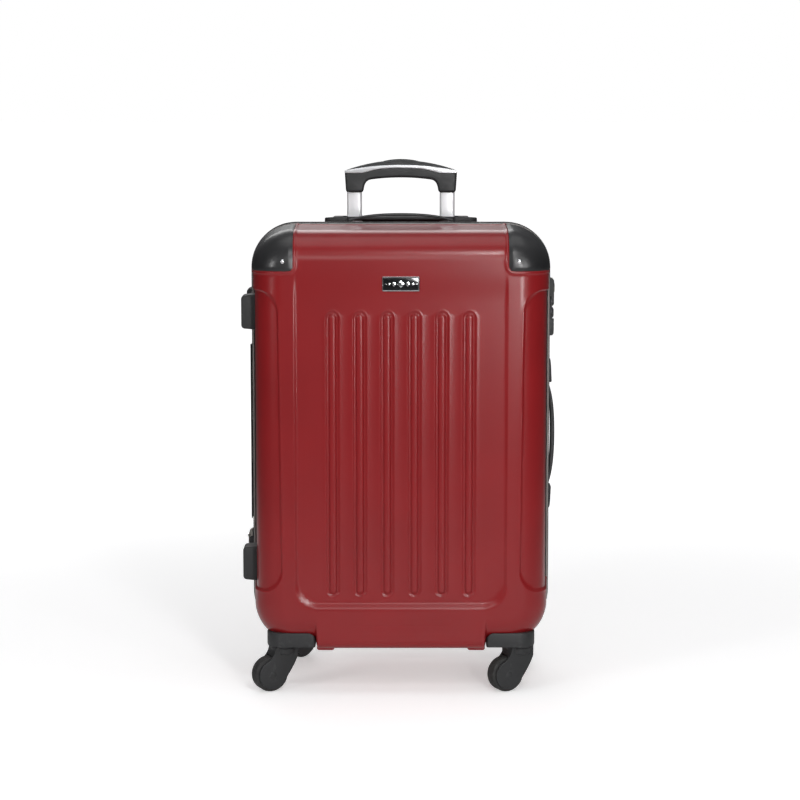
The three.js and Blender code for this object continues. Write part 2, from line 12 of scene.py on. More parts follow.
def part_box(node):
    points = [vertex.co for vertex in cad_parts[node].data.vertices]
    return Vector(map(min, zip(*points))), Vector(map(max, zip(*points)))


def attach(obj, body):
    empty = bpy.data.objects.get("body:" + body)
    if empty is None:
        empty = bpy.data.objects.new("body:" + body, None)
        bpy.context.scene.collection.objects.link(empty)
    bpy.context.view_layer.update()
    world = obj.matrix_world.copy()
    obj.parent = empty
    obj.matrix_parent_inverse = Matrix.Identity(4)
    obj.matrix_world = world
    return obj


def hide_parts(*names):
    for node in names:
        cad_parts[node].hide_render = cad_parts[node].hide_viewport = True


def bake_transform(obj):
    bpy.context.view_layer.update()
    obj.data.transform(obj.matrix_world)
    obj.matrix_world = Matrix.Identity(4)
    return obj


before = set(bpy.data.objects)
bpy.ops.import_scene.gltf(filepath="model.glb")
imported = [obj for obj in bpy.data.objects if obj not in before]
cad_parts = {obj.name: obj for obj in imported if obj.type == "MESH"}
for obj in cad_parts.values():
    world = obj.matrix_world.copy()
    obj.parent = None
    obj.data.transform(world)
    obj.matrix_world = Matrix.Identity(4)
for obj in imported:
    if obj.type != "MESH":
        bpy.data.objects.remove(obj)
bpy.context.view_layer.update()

"""The look of a hard shell suitcase on four casters.

Every piece is drawn in millimetres, in the frame's own axes (+Z up, the front facing -Y), and is brought
to metres when it is finished. One Mould holds the rounded form that the shells, the corner guards and the
linings share, so they fit each other.
"""

log = logging.getLogger("suitcase")

MM = 0.001
Point = tuple[float, float]
Colour = tuple[float, float, float]
Object = bpy.types.Object


class Axis(Enum):
    """The way an outline is drawn out into a solid."""

    X = 0
    Y = 1
    Z = 2


class Texture(Enum):
    """What a finish is like close up."""

    GRAIN = "moulded grain"
    WEAVE = "woven cloth"
    BRUSHED = "brushed metal"
    SMOOTH = "smooth skin"


# ---------------------------------------------------------------- the bench


def lay_down_tools() -> None:
    """Leave edit mode and let go of every object."""
    if bpy.context.mode != "OBJECT":
        bpy.ops.object.mode_set(mode="OBJECT")
    bpy.ops.object.select_all(action="DESELECT")


def hold(piece: Object) -> Object:
    """Select one piece alone and make it the active one."""
    lay_down_tools()
    piece.select_set(True)
    bpy.context.view_layer.objects.active = piece
    return piece


def take(name: str) -> Object:
    """Name the primitive that was just added and return it."""
    piece = bpy.context.object
    piece.name = name
    piece.data.name = name
    return piece


def points_of(piece: Object) -> np.ndarray:
    """Return a piece's vertices, one row each."""
    flat = np.empty(len(piece.data.vertices) * 3)
    piece.data.vertices.foreach_get("co", flat)
    return flat.reshape(-1, 3)


def place_points(piece: Object, points: np.ndarray) -> None:
    """Move a piece's vertices to new places."""
    piece.data.vertices.foreach_set("co", np.ascontiguousarray(points, dtype=float).ravel())
    piece.data.update()


def modify(piece: Object, kind: str, **settings: object) -> Object:
    """Add a modifier, set it and apply it."""
    hold(piece)
    modifier = piece.modifiers.new(kind.title(), kind)
    for key, value in settings.items():
        setattr(modifier, key, value)
    bpy.ops.object.modifier_apply(modifier=modifier.name)
    return piece


def soften(piece: Object, width: float, segments: int = 3, angle: float = 35) -> Object:
    """Round every sharp edge of a piece."""
    return modify(
        piece,
        "BEVEL",
        width=width,
        segments=segments,
        limit_method="ANGLE",
        angle_limit=math.radians(angle),
        use_clamp_overlap=True,
    )


def clean(piece: Object, gap: float = 0.002) -> Object:
    """Merge doubled vertices and turn every face outwards."""
    hold(piece)
    bpy.ops.object.mode_set(mode="EDIT")
    bpy.ops.mesh.select_all(action="SELECT")
    bpy.ops.mesh.remove_doubles(threshold=gap)
    bpy.ops.mesh.normals_make_consistent(inside=False)
    bpy.ops.object.mode_set(mode="OBJECT")
    return piece


def place_in(axis: Axis, a: float, b: float, along: float) -> tuple[float, float, float]:
    """Put an outline's point into space.

    Args:
        axis: the way the outline is drawn out.
        a: its first coordinate, in X (or in Y for Axis.X).
        b: its second coordinate, in Z (or in Y for Axis.Z).
        along: its place along the axis.
    """
    if axis is Axis.X:
        return (along, a, b)
    if axis is Axis.Y:
        return (a, along, b)
    return (a, b, along)


def prism(
    name: str,
    outline: Sequence[Point],
    axis: Axis,
    low: float,
    high: float,
    edge: float = 0.0,
    segments: int = 3,
) -> Object:
    """Draw an outline out into a solid and round its edges.

    Args:
        name: the piece's name.
        outline: its points in order.
        axis: the way it is drawn out.
        low: where it starts along the axis.
        high: where it ends.
        edge: the radius of its edges.
        segments: the steps round an edge.

    Returns:
        The closed piece.
    """
    lay_down_tools()
    bpy.ops.mesh.primitive_circle_add(vertices=len(outline), fill_type="NGON")
    piece = take(name)
    place_points(piece, np.array([place_in(axis, a, b, low) for a, b in outline]))
    bpy.ops.object.mode_set(mode="EDIT")
    bpy.ops.mesh.select_all(action="SELECT")
    move = {"value": place_in(axis, 0, 0, high - low)}
    bpy.ops.mesh.extrude_region_move(TRANSFORM_OT_translate=move)
    bpy.ops.object.mode_set(mode="OBJECT")
    clean(piece)
    return soften(piece, edge, segments) if edge else piece


def block(name: str, low: Sequence[float], high: Sequence[float], edge: float = 1.0) -> Object:
    """Make a block between two corners, with rounded edges."""
    lay_down_tools()
    size = [b - a for a, b in zip(low, high)]
    middle = [(a + b) / 2 for a, b in zip(low, high)]
    bpy.ops.mesh.primitive_cube_add(size=1, location=middle, scale=size)
    piece = take(name)
    bpy.ops.object.transform_apply(location=True, rotation=True, scale=True)
    return soften(piece, edge, 3) if edge else piece


def turned(name: str, profile: Sequence[Point], steps: int = 40) -> Object:
    """Spin a closed profile of (radius, height) points round the Z axis."""
    lay_down_tools()
    bpy.ops.mesh.primitive_circle_add(vertices=len(profile), fill_type="NOTHING")
    piece = take(name)
    place_points(piece, np.array([(radius, 0, height) for radius, height in profile]))
    bpy.ops.object.mode_set(mode="EDIT")
    bpy.ops.mesh.select_all(action="SELECT")
    bpy.ops.mesh.spin(steps=steps, angle=2 * math.pi, center=(0, 0, 0), axis=(0, 0, 1))
    bpy.ops.object.mode_set(mode="OBJECT")
    return clean(piece)


def sheet_over(name: str, columns: int, rows: int, drape: Callable) -> Object:
    """Lay a grid over a form.

    Args:
        name: the piece's name.
        columns: faces across the grid.
        rows: faces up the grid.
        drape: gives each grid point's place from its column and row numbers.

    Returns:
        The draped sheet, with the grid's own UV map.
    """
    lay_down_tools()
    bpy.ops.mesh.primitive_grid_add(x_subdivisions=columns, y_subdivisions=rows, size=2)
    piece = take(name)
    flat = points_of(piece)
    i = np.rint((flat[:, 0] + 1) / 2 * columns).astype(int)
    j = np.rint((flat[:, 1] + 1) / 2 * rows).astype(int)
    place_points(piece, drape(i, j))
    return piece


def swept(
    name: str,
    path: np.ndarray,
    section: Sequence[Point],
    axis: Axis,
    is_closed_section: bool = True,
) -> Object:
    """Carry a section round a closed path.

    Args:
        name: the piece's name.
        path: rows of (a, b, outward a, outward b), in the plane across the axis.
        section: points of (distance outwards, place along the axis).
        axis: the direction across the path's plane.
        is_closed_section: whether the section's last point joins its first.

    Returns:
        The piece, with a UV map of metres along the path and across the section.
    """
    count = len(path)
    ends = list(section) + ([section[0]] if is_closed_section else [])
    ring = np.array(ends, dtype=float)
    steps = np.linalg.norm(np.diff(path[:, :2], axis=0, append=path[:1, :2]), axis=1)
    run = np.concatenate([[0], np.cumsum(steps)]) * MM
    climb = np.concatenate([[0], np.cumsum(np.linalg.norm(np.diff(ring, axis=0), axis=1))]) * MM

    def drape(i: np.ndarray, j: np.ndarray) -> np.ndarray:
        at = path[i % count]
        out, along = ring[j, 0], ring[j, 1]
        a, b = at[:, 0] + at[:, 2] * out, at[:, 1] + at[:, 3] * out
        return np.stack({Axis.X: (along, a, b), Axis.Y: (a, along, b), Axis.Z: (a, b, along)}[axis], 1)

    piece = sheet_over(name, count, len(ring) - 1, drape)
    uv = piece.data.uv_layers.active
    loops = len(piece.data.loops)
    grid = np.empty(loops * 2)
    uv.data.foreach_get("uv", grid)
    grid = grid.reshape(-1, 2)
    grid[:, 0] = run[np.rint(grid[:, 0] * count).astype(int)]
    grid[:, 1] = climb[np.rint(grid[:, 1] * (len(ring) - 1)).astype(int)]
    uv.data.foreach_set("uv", grid.ravel())
    return clean(piece)


def joined(name: str, pieces: Sequence[Object]) -> Object:
    """Join several pieces into one."""
    lay_down_tools()
    for piece in pieces:
        piece.select_set(True)
    bpy.context.view_layer.objects.active = pieces[0]
    if len(pieces) > 1:
        bpy.ops.object.join()
    return take(name)


def copied(piece: Object, name: str, change: Matrix | None = None) -> Object:
    """Copy a piece with its own mesh, and move the copy by a matrix."""
    twin = piece.copy()
    twin.data = piece.data.copy()
    twin.name = name
    twin.data.name = name
    bpy.context.scene.collection.objects.link(twin)
    if change is not None:
        twin.data.transform(change)
        if change.determinant() < 0:
            twin.data.flip_normals()
    return twin


def cut(piece: Object, tools: Sequence[Object], operation: str = "DIFFERENCE") -> Object:
    """Cut a piece with tools, which are used up."""
    for tool in tools:
        modify(piece, "BOOLEAN", object=tool, operation=operation, solver="EXACT")
        bpy.data.objects.remove(tool)
    return piece


def scattered(name: str, grain: Object, places: np.ndarray, turns: np.ndarray) -> Object:
    """Repeat one small piece at many places.

    Args:
        name: the new piece's name.
        grain: the small piece, about the origin; it is used up.
        places: one row of x, y, z for each copy.
        turns: the angle of each copy about the Y axis, in radians.
    """
    shape = points_of(grain)
    faces = [tuple(face.vertices) for face in grain.data.polygons]
    cosine, sine = np.cos(turns), np.sin(turns)
    x = shape[None, :, 0] * cosine[:, None] + shape[None, :, 2] * sine[:, None]
    z = -shape[None, :, 0] * sine[:, None] + shape[None, :, 2] * cosine[:, None]
    y = np.repeat(shape[None, :, 1], len(places), axis=0)
    points = (np.stack([x, y, z], 2) + places[:, None, :]).reshape(-1, 3)
    size = len(shape)
    every = [tuple(v + k * size for v in face) for k in range(len(places)) for face in faces]
    mesh = bpy.data.meshes.new(name)
    mesh.from_pydata(points.tolist(), [], every)
    piece = bpy.data.objects.new(name, mesh)
    bpy.context.scene.collection.objects.link(piece)
    bpy.data.objects.remove(grain)
    return piece


def finished(
    piece: Object,
    material: bpy.types.Material,
    body: str | None,
    nodes: Sequence[str] = (),
    angle: float = 32,
) -> Object:
    """body: the body it rides on, or None to leave it without one.
        nodes: the plain solids that it replaces.
        angle: edges sharper than this stay crisp, in degrees.

    Returns:
        The piece, at the origin and in metres.
    """
    piece.data.transform(Matrix.Scale(MM, 4))
    piece.data.materials.clear()
    piece.data.materials.append(material)
    hold(piece)
    bpy.ops.object.shade_smooth_by_angle(angle=math.radians(angle))
    if body is not None:
        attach(piece, body)
    if nodes:
        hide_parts(*nodes)
    log.info("made %s, %d faces", piece.name, len(piece.data.polygons))
    return piece


# ---------------------------------------------------------------- outlines


def rounded_corners(points: Sequence[Point], radii: Sequence[float], steps: int = 6) -> list[Point]:
    """Round the corners of an outline.

    Args:
        points: the sharp corners in order.
        radii: a radius for each corner.
        steps: points round each corner.

    Returns:
        The rounded outline.
    """
    outline: list[Point] = []
    count = len(points)
    for k, (corner, radius) in enumerate(zip(points, radii)):
        here = Vector(corner)
        before = Vector(points[k - 1]) - here
        after = Vector(points[(k + 1) % count]) - here
        if radius <= 0:
            outline.append(tuple(here))
            continue
        half = before.angle(after) / 2
        reach = radius / math.tan(half)
        start, end = here + before.normalized() * reach, here + after.normalized() * reach
        centre = here + (before.normalized() + after.normalized()).normalized() * radius / math.sin(half)
        for step in range(steps + 1):
            chord = start.lerp(end, step / steps) - centre
            outline.append(tuple(centre + chord.normalized() * radius))
    return outline


def rounded_box(
    x0: float, x1: float, y0: float, y1: float, radius: float | Sequence[float], steps: int = 6
) -> list[Point]:
    """Give the outline of a rectangle with rounded corners, from its lower left one."""
    radii = list(radius) if isinstance(radius, Sequence) else [radius] * 4
    return rounded_corners([(x0, y0), (x1, y0), (x1, y1), (x0, y1)], radii, steps)


def round_outline(radius: float, steps: int) -> list[Point]:
    """Make a circle about the origin."""
    angles = np.linspace(0, 2 * math.pi, steps, endpoint=False)
    return [(radius * math.cos(angle), radius * math.sin(angle)) for angle in angles]


def bowed(ends: tuple[Point, Point], bow: Point, steps: int = 16) -> list[Point]:
    """Give the points of a quadratic curve from one end to the other, pulled towards bow."""
    (ax, ay), (cx, cy) = ends
    bx, by = bow
    t = np.linspace(0, 1, steps + 1)
    x = (1 - t) ** 2 * ax + 2 * t * (1 - t) * bx + t**2 * cx
    y = (1 - t) ** 2 * ay + 2 * t * (1 - t) * by + t**2 * cy
    return list(zip(x.tolist(), y.tolist()))


def with_outward(outline: Sequence[Point]) -> np.ndarray:
    """Add the outward direction to each point of an anticlockwise outline."""
    points = np.array(outline, dtype=float)
    keep = np.linalg.norm(points - np.roll(points, 1, axis=0), axis=1) > 1e-6
    points = points[keep]
    along = np.roll(points, -1, axis=0) - np.roll(points, 1, axis=0)
    along /= np.linalg.norm(along, axis=1)[:, None]
    return np.column_stack([points, along[:, 1], -along[:, 0]])


def ramp(value: np.ndarray, start: float, end: float) -> np.ndarray:
    """Go smoothly from 0 at start to 1 at end."""
    t = np.clip((value - start) / (end - start), 0, 1)
    return t * t * (3 - 2 * t)


def spaced(stops: Sequence[tuple[float, float]], end: float) -> np.ndarray:
    """Space out numbers, with a step of its own from each stop on.

    Args:
        stops: pairs of (start, step).
        end: the last number.

    Returns:
        The numbers in rising order.
    """
    marks = []
    for k, (start, step) in enumerate(stops):
        stop = stops[k + 1][0] if k + 1 < len(stops) else end
        count = max(1, round((stop - start) / step))
        marks.append(np.linspace(start, stop, count, endpoint=False))
    return np.concatenate([*marks, [end]])


# ---------------------------------------------------------------- finishes


@dataclass(frozen=True)
class Finish:
    """How one material looks, close up and from afar.

    Sizes are in metres. Colours are linear.
    """

    title: str
    colour: Colour
    shade: Colour
    roughness: float
    spread: float = 0.06
    metallic: float = 0.0
    coat: float = 0.0
    coat_roughness: float = 0.1
    sheen: float = 0.0
    specular: float = 0.5
    texture: Texture = Texture.SMOOTH
    size: float = 0.001
    relief: float = 0.00002
    worn: Colour = (0.3, 0.3, 0.3)
    wear: float = 0.0
    dust: float = 0.0
    is_mapped: bool = False


class Finishes:
    """The suitcase's materials and the shader groups that they share."""

    DUST = (0.42, 0.4, 0.38, 1.0)

    def __init__(self) -> None:
        """Build the shared groups once."""
        self.groups = {
            "patches": self._patches(),
            "grain": self._grain(),
            "weave": self._weave(),
            "brushed": self._brushed(),
            "worn edge": self._worn_edge(),
            "settled dust": self._settled_dust(),
        }
        self.made: dict[str, bpy.types.Material] = {}

    @staticmethod
    def _group(title: str, numbers: Sequence[str], outputs: Sequence[str]) -> tuple:
        """Start a group that takes a Place vector and some numbers.

        Returns:
            The group, its input node and its output node.
        """
        tree = bpy.data.node_groups.new(title, "ShaderNodeTree")
        tree.interface.new_socket("Place", in_out="INPUT", socket_type="NodeSocketVector")
        for number in numbers:
            tree.interface.new_socket(number, in_out="INPUT", socket_type="NodeSocketFloat")
        for output in outputs:
            tree.interface.new_socket(output, in_out="OUTPUT", socket_type="NodeSocketFloat")
        return tree, tree.nodes.new("NodeGroupInput"), tree.nodes.new("NodeGroupOutput")

    @staticmethod
    def _math(tree: bpy.types.NodeTree, operation: str, *values: object, clamp: bool = False) -> object:
        """Add a math node and return its result socket."""
        node = tree.nodes.new("ShaderNodeMath")
        node.operation = operation
        node.use_clamp = clamp
        for socket, value in zip(node.inputs, values):
            if isinstance(value, (int, float)):
                socket.default_value = value
            else:
                tree.links.new(value, socket)
        return node.outputs[0]

    @staticmethod
    def _noise(tree: bpy.types.NodeTree, place: object, scale: object, detail: float = 3) -> object:
        """Add a noise texture and return its value socket."""
        node = tree.nodes.new("ShaderNodeTexNoise")
        node.inputs["Detail"].default_value = detail
        tree.links.new(place, node.inputs["Vector"])
        if isinstance(scale, (int, float)):
            node.inputs["Scale"].default_value = scale
        else:
            tree.links.new(scale, node.inputs["Scale"])
        return node.outputs["Fac"]

    @staticmethod
    def _spread(tree: bpy.types.NodeTree, value: object, low: float, high: float) -> object:
        """Stretch the part of a value from low to high over 0 to 1."""
        node = tree.nodes.new("ShaderNodeMapRange")
        node.inputs["From Min"].default_value = low
        node.inputs["From Max"].default_value = high
        tree.links.new(value, node.inputs["Value"])
        return node.outputs["Result"]

    def _patches(self) -> bpy.types.NodeTree:
        """Broad and fine unevenness of a colour."""
        tree, start, end = self._group("patches", ["Broad", "Fine"], ["Broad Mask", "Fine Mask"])
        broad = self._noise(tree, start.outputs["Place"], start.outputs["Broad"], 2)
        fine = self._noise(tree, start.outputs["Place"], start.outputs["Fine"], 4)
        tree.links.new(self._spread(tree, broad, 0.3, 0.7), end.inputs["Broad Mask"])
        tree.links.new(self._spread(tree, fine, 0.3, 0.7), end.inputs["Fine Mask"])
        return tree

    def _grain(self) -> bpy.types.NodeTree:
        """The pebbled grain of a spark-eroded mould."""
        tree, start, end = self._group("grain", ["Cells"], ["Height"])
        cells = tree.nodes.new("ShaderNodeTexVoronoi")
        cells.feature = "SMOOTH_F1"
        tree.links.new(start.outputs["Place"], cells.inputs["Vector"])
        tree.links.new(start.outputs["Cells"], cells.inputs["Scale"])
        noise = self._noise(tree, start.outputs["Place"], start.outputs["Cells"], 4)
        height = self._math(tree, "ADD", cells.outputs["Distance"], self._math(tree, "MULTIPLY", noise, 0.7))
        tree.links.new(height, end.inputs["Height"])
        return tree

    def _weave(self) -> bpy.types.NodeTree:
        """A plain weave: warp and weft threads that pass over each other in turn."""
        tree, start, end = self._group("weave", ["Threads"], ["Height", "Weft"])
        scaled = tree.nodes.new("ShaderNodeVectorMath")
        scaled.operation = "SCALE"
        tree.links.new(start.outputs["Place"], scaled.inputs[0])
        tree.links.new(start.outputs["Threads"], scaled.inputs["Scale"])
        parts = tree.nodes.new("ShaderNodeSeparateXYZ")
        tree.links.new(scaled.outputs["Vector"], parts.inputs["Vector"])
        across = self._math(tree, "ADD", parts.outputs["Y"], parts.outputs["Z"])
        warp, weft = (
            self._math(tree, "ABSOLUTE", self._math(tree, "SINE", self._math(tree, "MULTIPLY", way, math.pi)))
            for way in (parts.outputs["X"], across)
        )
        checker = tree.nodes.new("ShaderNodeTexChecker")
        checker.inputs["Scale"].default_value = 1.0
        flat = tree.nodes.new("ShaderNodeCombineXYZ")
        tree.links.new(parts.outputs["X"], flat.inputs["X"])
        tree.links.new(across, flat.inputs["Y"])
        flat.inputs["Z"].default_value = 0.5
        tree.links.new(flat.outputs["Vector"], checker.inputs["Vector"])
        over = checker.outputs["Fac"]
        under = self._math(tree, "SUBTRACT", 1.0, over)
        height = self._math(
            tree, "ADD", self._math(tree, "MULTIPLY", warp, over), self._math(tree, "MULTIPLY", weft, under)
        )
        tree.links.new(height, end.inputs["Height"])
        tree.links.new(over, end.inputs["Weft"])
        return tree

    def _brushed(self) -> bpy.types.NodeTree:
        """Fine lines along Z, as an abrasive belt leaves them."""
        tree, start, end = self._group("brushed", ["Lines"], ["Height"])
        stretch = tree.nodes.new("ShaderNodeVectorMath")
        stretch.operation = "MULTIPLY"
        stretch.inputs[1].default_value = (1.0, 1.0, 0.015)
        tree.links.new(start.outputs["Place"], stretch.inputs[0])
        lines = self._noise(tree, stretch.outputs["Vector"], start.outputs["Lines"], 2)
        tree.links.new(lines, end.inputs["Height"])
        return tree

    def _worn_edge(self) -> bpy.types.NodeTree:
        """Where corners and edges are rubbed."""
        tree, start, end = self._group("worn edge", ["Amount"], ["Mask"])
        shape = tree.nodes.new("ShaderNodeNewGeometry")
        edge = self._spread(tree, shape.outputs["Pointiness"], 0.53, 0.64)
        broken = self._spread(tree, self._noise(tree, start.outputs["Place"], 160.0, 5), 0.45, 0.68)
        mask = self._math(tree, "MULTIPLY", edge, broken)
        amount = self._math(tree, "MULTIPLY", mask, start.outputs["Amount"], clamp=True)
        tree.links.new(amount, end.inputs["Mask"])
        return tree

    def _settled_dust(self) -> bpy.types.NodeTree:
        """A thin patchy film on what faces up."""
        tree, start, end = self._group("settled dust", ["Amount"], ["Mask"])
        shape = tree.nodes.new("ShaderNodeNewGeometry")
        parts = tree.nodes.new("ShaderNodeSeparateXYZ")
        tree.links.new(shape.outputs["Normal"], parts.inputs["Vector"])
        up = self._spread(tree, parts.outputs["Z"], 0.25, 1.0)
        patchy = self._spread(tree, self._noise(tree, start.outputs["Place"], 34.0, 6), 0.35, 0.75)
        mask = self._math(tree, "MULTIPLY", up, patchy)
        amount = self._math(tree, "MULTIPLY", mask, start.outputs["Amount"], clamp=True)
        tree.links.new(amount, end.inputs["Mask"])
        return tree

    def _use(self, tree: bpy.types.NodeTree, title: str, place: object, **numbers: float) -> object:
        """Place a shared group in a material, with this material's own numbers."""
        node = tree.nodes.new("ShaderNodeGroup")
        node.node_tree = self.groups[title]
        tree.links.new(place, node.inputs["Place"])
        for key, value in numbers.items():
            node.inputs[key].default_value = value
        return node

    @staticmethod
    def _mix(tree: bpy.types.NodeTree, mask: object, first: object, second: Colour) -> object:
        """Mix a colour or a colour socket with a second colour."""
        node = tree.nodes.new("ShaderNodeMix")
        node.data_type = "RGBA"
        tree.links.new(mask, node.inputs[0])
        if isinstance(first, tuple):
            node.inputs[6].default_value = (*first[:3], 1.0)
        else:
            tree.links.new(first, node.inputs[6])
        node.inputs[7].default_value = (*second[:3], 1.0)
        return node.outputs[2]

    def of(self, finish: Finish) -> bpy.types.Material:
        """Return the material of a finish, making it the first time.

        Args:
            finish: the finish.

        Returns:
            Its material.
        """
        if finish.title in self.made:
            return self.made[finish.title]
        material = bpy.data.materials.new(finish.title)
        material.use_nodes = True
        tree = material.node_tree
        tree.nodes.clear()
        shader = tree.nodes.new("ShaderNodeBsdfPrincipled")
        output = tree.nodes.new("ShaderNodeOutputMaterial")
        tree.links.new(shader.outputs[0], output.inputs[0])
        shader.inputs["Metallic"].default_value = finish.metallic
        shader.inputs["Coat Weight"].default_value = finish.coat
        shader.inputs["Coat Roughness"].default_value = finish.coat_roughness
        shader.inputs["Sheen Weight"].default_value = finish.sheen
        shader.inputs["Specular IOR Level"].default_value = finish.specular
        where = tree.nodes.new("ShaderNodeTexCoord")
        place = where.outputs["Object"]
        cloth = where.outputs["UV"] if finish.is_mapped else place
        patches = self._use(tree, "patches", place, Broad=9.0, Fine=140.0)
        colour = self._mix(tree, patches.outputs["Broad Mask"], finish.colour, finish.shade)
        if finish.texture is Texture.WEAVE:
            texture = self._use(tree, "weave", cloth, Threads=1 / finish.size)
            thread = tuple(0.62 * c for c in finish.colour)
            colour = self._mix(tree, texture.outputs["Weft"], colour, thread)
        elif finish.texture is Texture.BRUSHED:
            texture = self._use(tree, "brushed", place, Lines=1 / finish.size)
        else:
            texture = self._use(tree, "grain", place, Cells=1 / finish.size)
        if finish.wear:
            worn = self._use(tree, "worn edge", place, Amount=finish.wear)
            colour = self._mix(tree, worn.outputs["Mask"], colour, finish.worn)
        swing = self._math(
            tree, "MULTIPLY_ADD", patches.outputs["Fine Mask"], finish.spread, finish.roughness
        )
        if finish.dust:
            dust = self._use(tree, "settled dust", place, Amount=finish.dust)
            colour = self._mix(tree, dust.outputs["Mask"], colour, self.DUST)
            swing = self._math(tree, "MULTIPLY_ADD", dust.outputs["Mask"], 0.25, swing, clamp=True)
        tree.links.new(colour, shader.inputs["Base Color"])
        tree.links.new(swing, shader.inputs["Roughness"])
        bump = tree.nodes.new("ShaderNodeBump")
        bump.inputs["Strength"].default_value = 0.6
        bump.inputs["Distance"].default_value = finish.relief
        tree.links.new(texture.outputs["Height"], bump.inputs["Height"])
        tree.links.new(bump.outputs["Normal"], shader.inputs["Normal"])
        self.made[finish.title] = material
        return material


RED_SHELL = Finish(
    "satin red shell",
    (0.24, 0.0092, 0.0112),
    (0.218, 0.0084, 0.0102),
    0.42,
    spread=0.05,
    coat=0.85,
    coat_roughness=0.25,
    specular=0.04,
    texture=Texture.GRAIN,
    size=0.0009,
    relief=0.000012,
    worn=(0.42, 0.11, 0.12),
    wear=0.25,
    dust=0.03,
)
GLOSS_BLACK = Finish(
    "gloss black corner guard",
    (0.011, 0.011, 0.012),
    (0.015, 0.015, 0.016),
    0.34,
    spread=0.06,
    coat=0.2,
    coat_roughness=0.2,
    texture=Texture.GRAIN,
    size=0.0013,
    relief=0.000008,
    worn=(0.06, 0.06, 0.062),
    wear=0.4,
    dust=0.04,
)
MATT_BLACK = Finish(
    "grained black plastic",
    (0.016, 0.017, 0.018),
    (0.021, 0.022, 0.023),
    0.5,
    spread=0.12,
    texture=Texture.GRAIN,
    size=0.0006,
    relief=0.00005,
    worn=(0.07, 0.072, 0.075),
    wear=0.6,
    dust=0.06,
)
SOFT_GRIP = Finish(
    "soft grip plastic",
    (0.019, 0.02, 0.021),
    (0.025, 0.026, 0.027),
    0.44,
    spread=0.12,
    texture=Texture.GRAIN,
    size=0.0008,
    relief=0.00003,
    worn=(0.06, 0.062, 0.064),
    wear=0.4,
    dust=0.05,
)
CASTER_BLACK = Finish(
    "caster plastic",
    (0.013, 0.0135, 0.0145),
    (0.018, 0.0185, 0.0195),
    0.42,
    spread=0.14,
    texture=Texture.GRAIN,
    size=0.0007,
    relief=0.00004,
    worn=(0.08, 0.08, 0.082),
    wear=0.6,
    dust=0.08,
)
TYRE = Finish(
    "wheel tyre",
    (0.011, 0.011, 0.0115),
    (0.017, 0.0165, 0.016),
    0.6,
    spread=0.18,
    texture=Texture.GRAIN,
    size=0.001,
    relief=0.00006,
    worn=(0.09, 0.085, 0.08),
    wear=0.8,
    dust=0.1,
)
HUB_GREY = Finish(
    "wheel hub plastic",
    (0.05, 0.051, 0.054),
    (0.06, 0.061, 0.064),
    0.4,
    spread=0.1,
    texture=Texture.GRAIN,
    size=0.0007,
    relief=0.00003,
    wear=0.4,
    dust=0.05,
)
ZIP_TAPE = Finish(
    "zip tape cloth",
    (0.02, 0.0205, 0.022),
    (0.027, 0.0275, 0.029),
    0.82,
    spread=0.1,
    sheen=0.35,
    specular=0.25,
    texture=Texture.WEAVE,
    size=0.0007,
    relief=0.00022,
    dust=0.1,
    is_mapped=True,
)
PIPING = Finish(
    "piping cord skin",
    (0.27, 0.255, 0.24),
    (0.22, 0.21, 0.2),
    0.46,
    spread=0.14,
    texture=Texture.GRAIN,
    size=0.0012,
    relief=0.00006,
    worn=(0.1, 0.1, 0.1),
    wear=0.5,
    dust=0.05,
)
ZIP_TEETH = Finish(
    "zip teeth nylon",
    (0.024, 0.0245, 0.026),
    (0.04, 0.041, 0.043),
    0.38,
    spread=0.14,
    texture=Texture.GRAIN,
    size=0.0009,
    relief=0.00003,
    worn=(0.14, 0.14, 0.14),
    wear=0.5,
)
LINING = Finish(
    "lining cloth",
    (0.105, 0.106, 0.12),
    (0.125, 0.126, 0.14),
    0.7,
    spread=0.12,
    sheen=0.4,
    specular=0.3,
    texture=Texture.WEAVE,
    size=0.0011,
    relief=0.00012,
)
POCKET = Finish(
    "pocket cloth",
    (0.045, 0.046, 0.053),
    (0.055, 0.056, 0.063),
    0.66,
    spread=0.12,
    sheen=0.4,
    specular=0.3,
    texture=Texture.WEAVE,
    size=0.0019,
    relief=0.0004,
)
ALUMINIUM = Finish(
    "brushed aluminium",
    (0.9, 0.905, 0.92),
    (0.84, 0.845, 0.86),
    0.28,
    spread=0.05,
    metallic=0.25,
    texture=Texture.BRUSHED,
    size=0.0002,
    relief=0.000004,
)
CHROME = Finish(
    "bright chrome",
    (0.86, 0.86, 0.87),
    (0.82, 0.82, 0.84),
    0.06,
    spread=0.08,
    metallic=1.0,
    texture=Texture.GRAIN,
    size=0.002,
    relief=0.000004,
    dust=0.03,
)
SATIN_CHROME = Finish(
    "satin chrome",
    (0.72, 0.73, 0.745),
    (0.66, 0.67, 0.685),
    0.3,
    spread=0.03,
    metallic=0.45,
    texture=Texture.GRAIN,
    size=0.0008,
    relief=0.000001,
)
NICKEL = Finish(
    "dull nickel",
    (0.52, 0.5, 0.46),
    (0.44, 0.42, 0.39),
    0.24,
    spread=0.14,
    metallic=1.0,
    texture=Texture.GRAIN,
    size=0.0007,
    relief=0.00002,
    worn=(0.75, 0.72, 0.66),
    wear=0.8,
)
DARK_METAL = Finish(
    "black nickel",
    (0.06, 0.06, 0.064),
    (0.045, 0.045, 0.048),
    0.3,
    spread=0.12,
    metallic=0.8,
    texture=Texture.GRAIN,
    size=0.0007,
    relief=0.00002,
    worn=(0.4, 0.39, 0.37),
    wear=0.6,
)
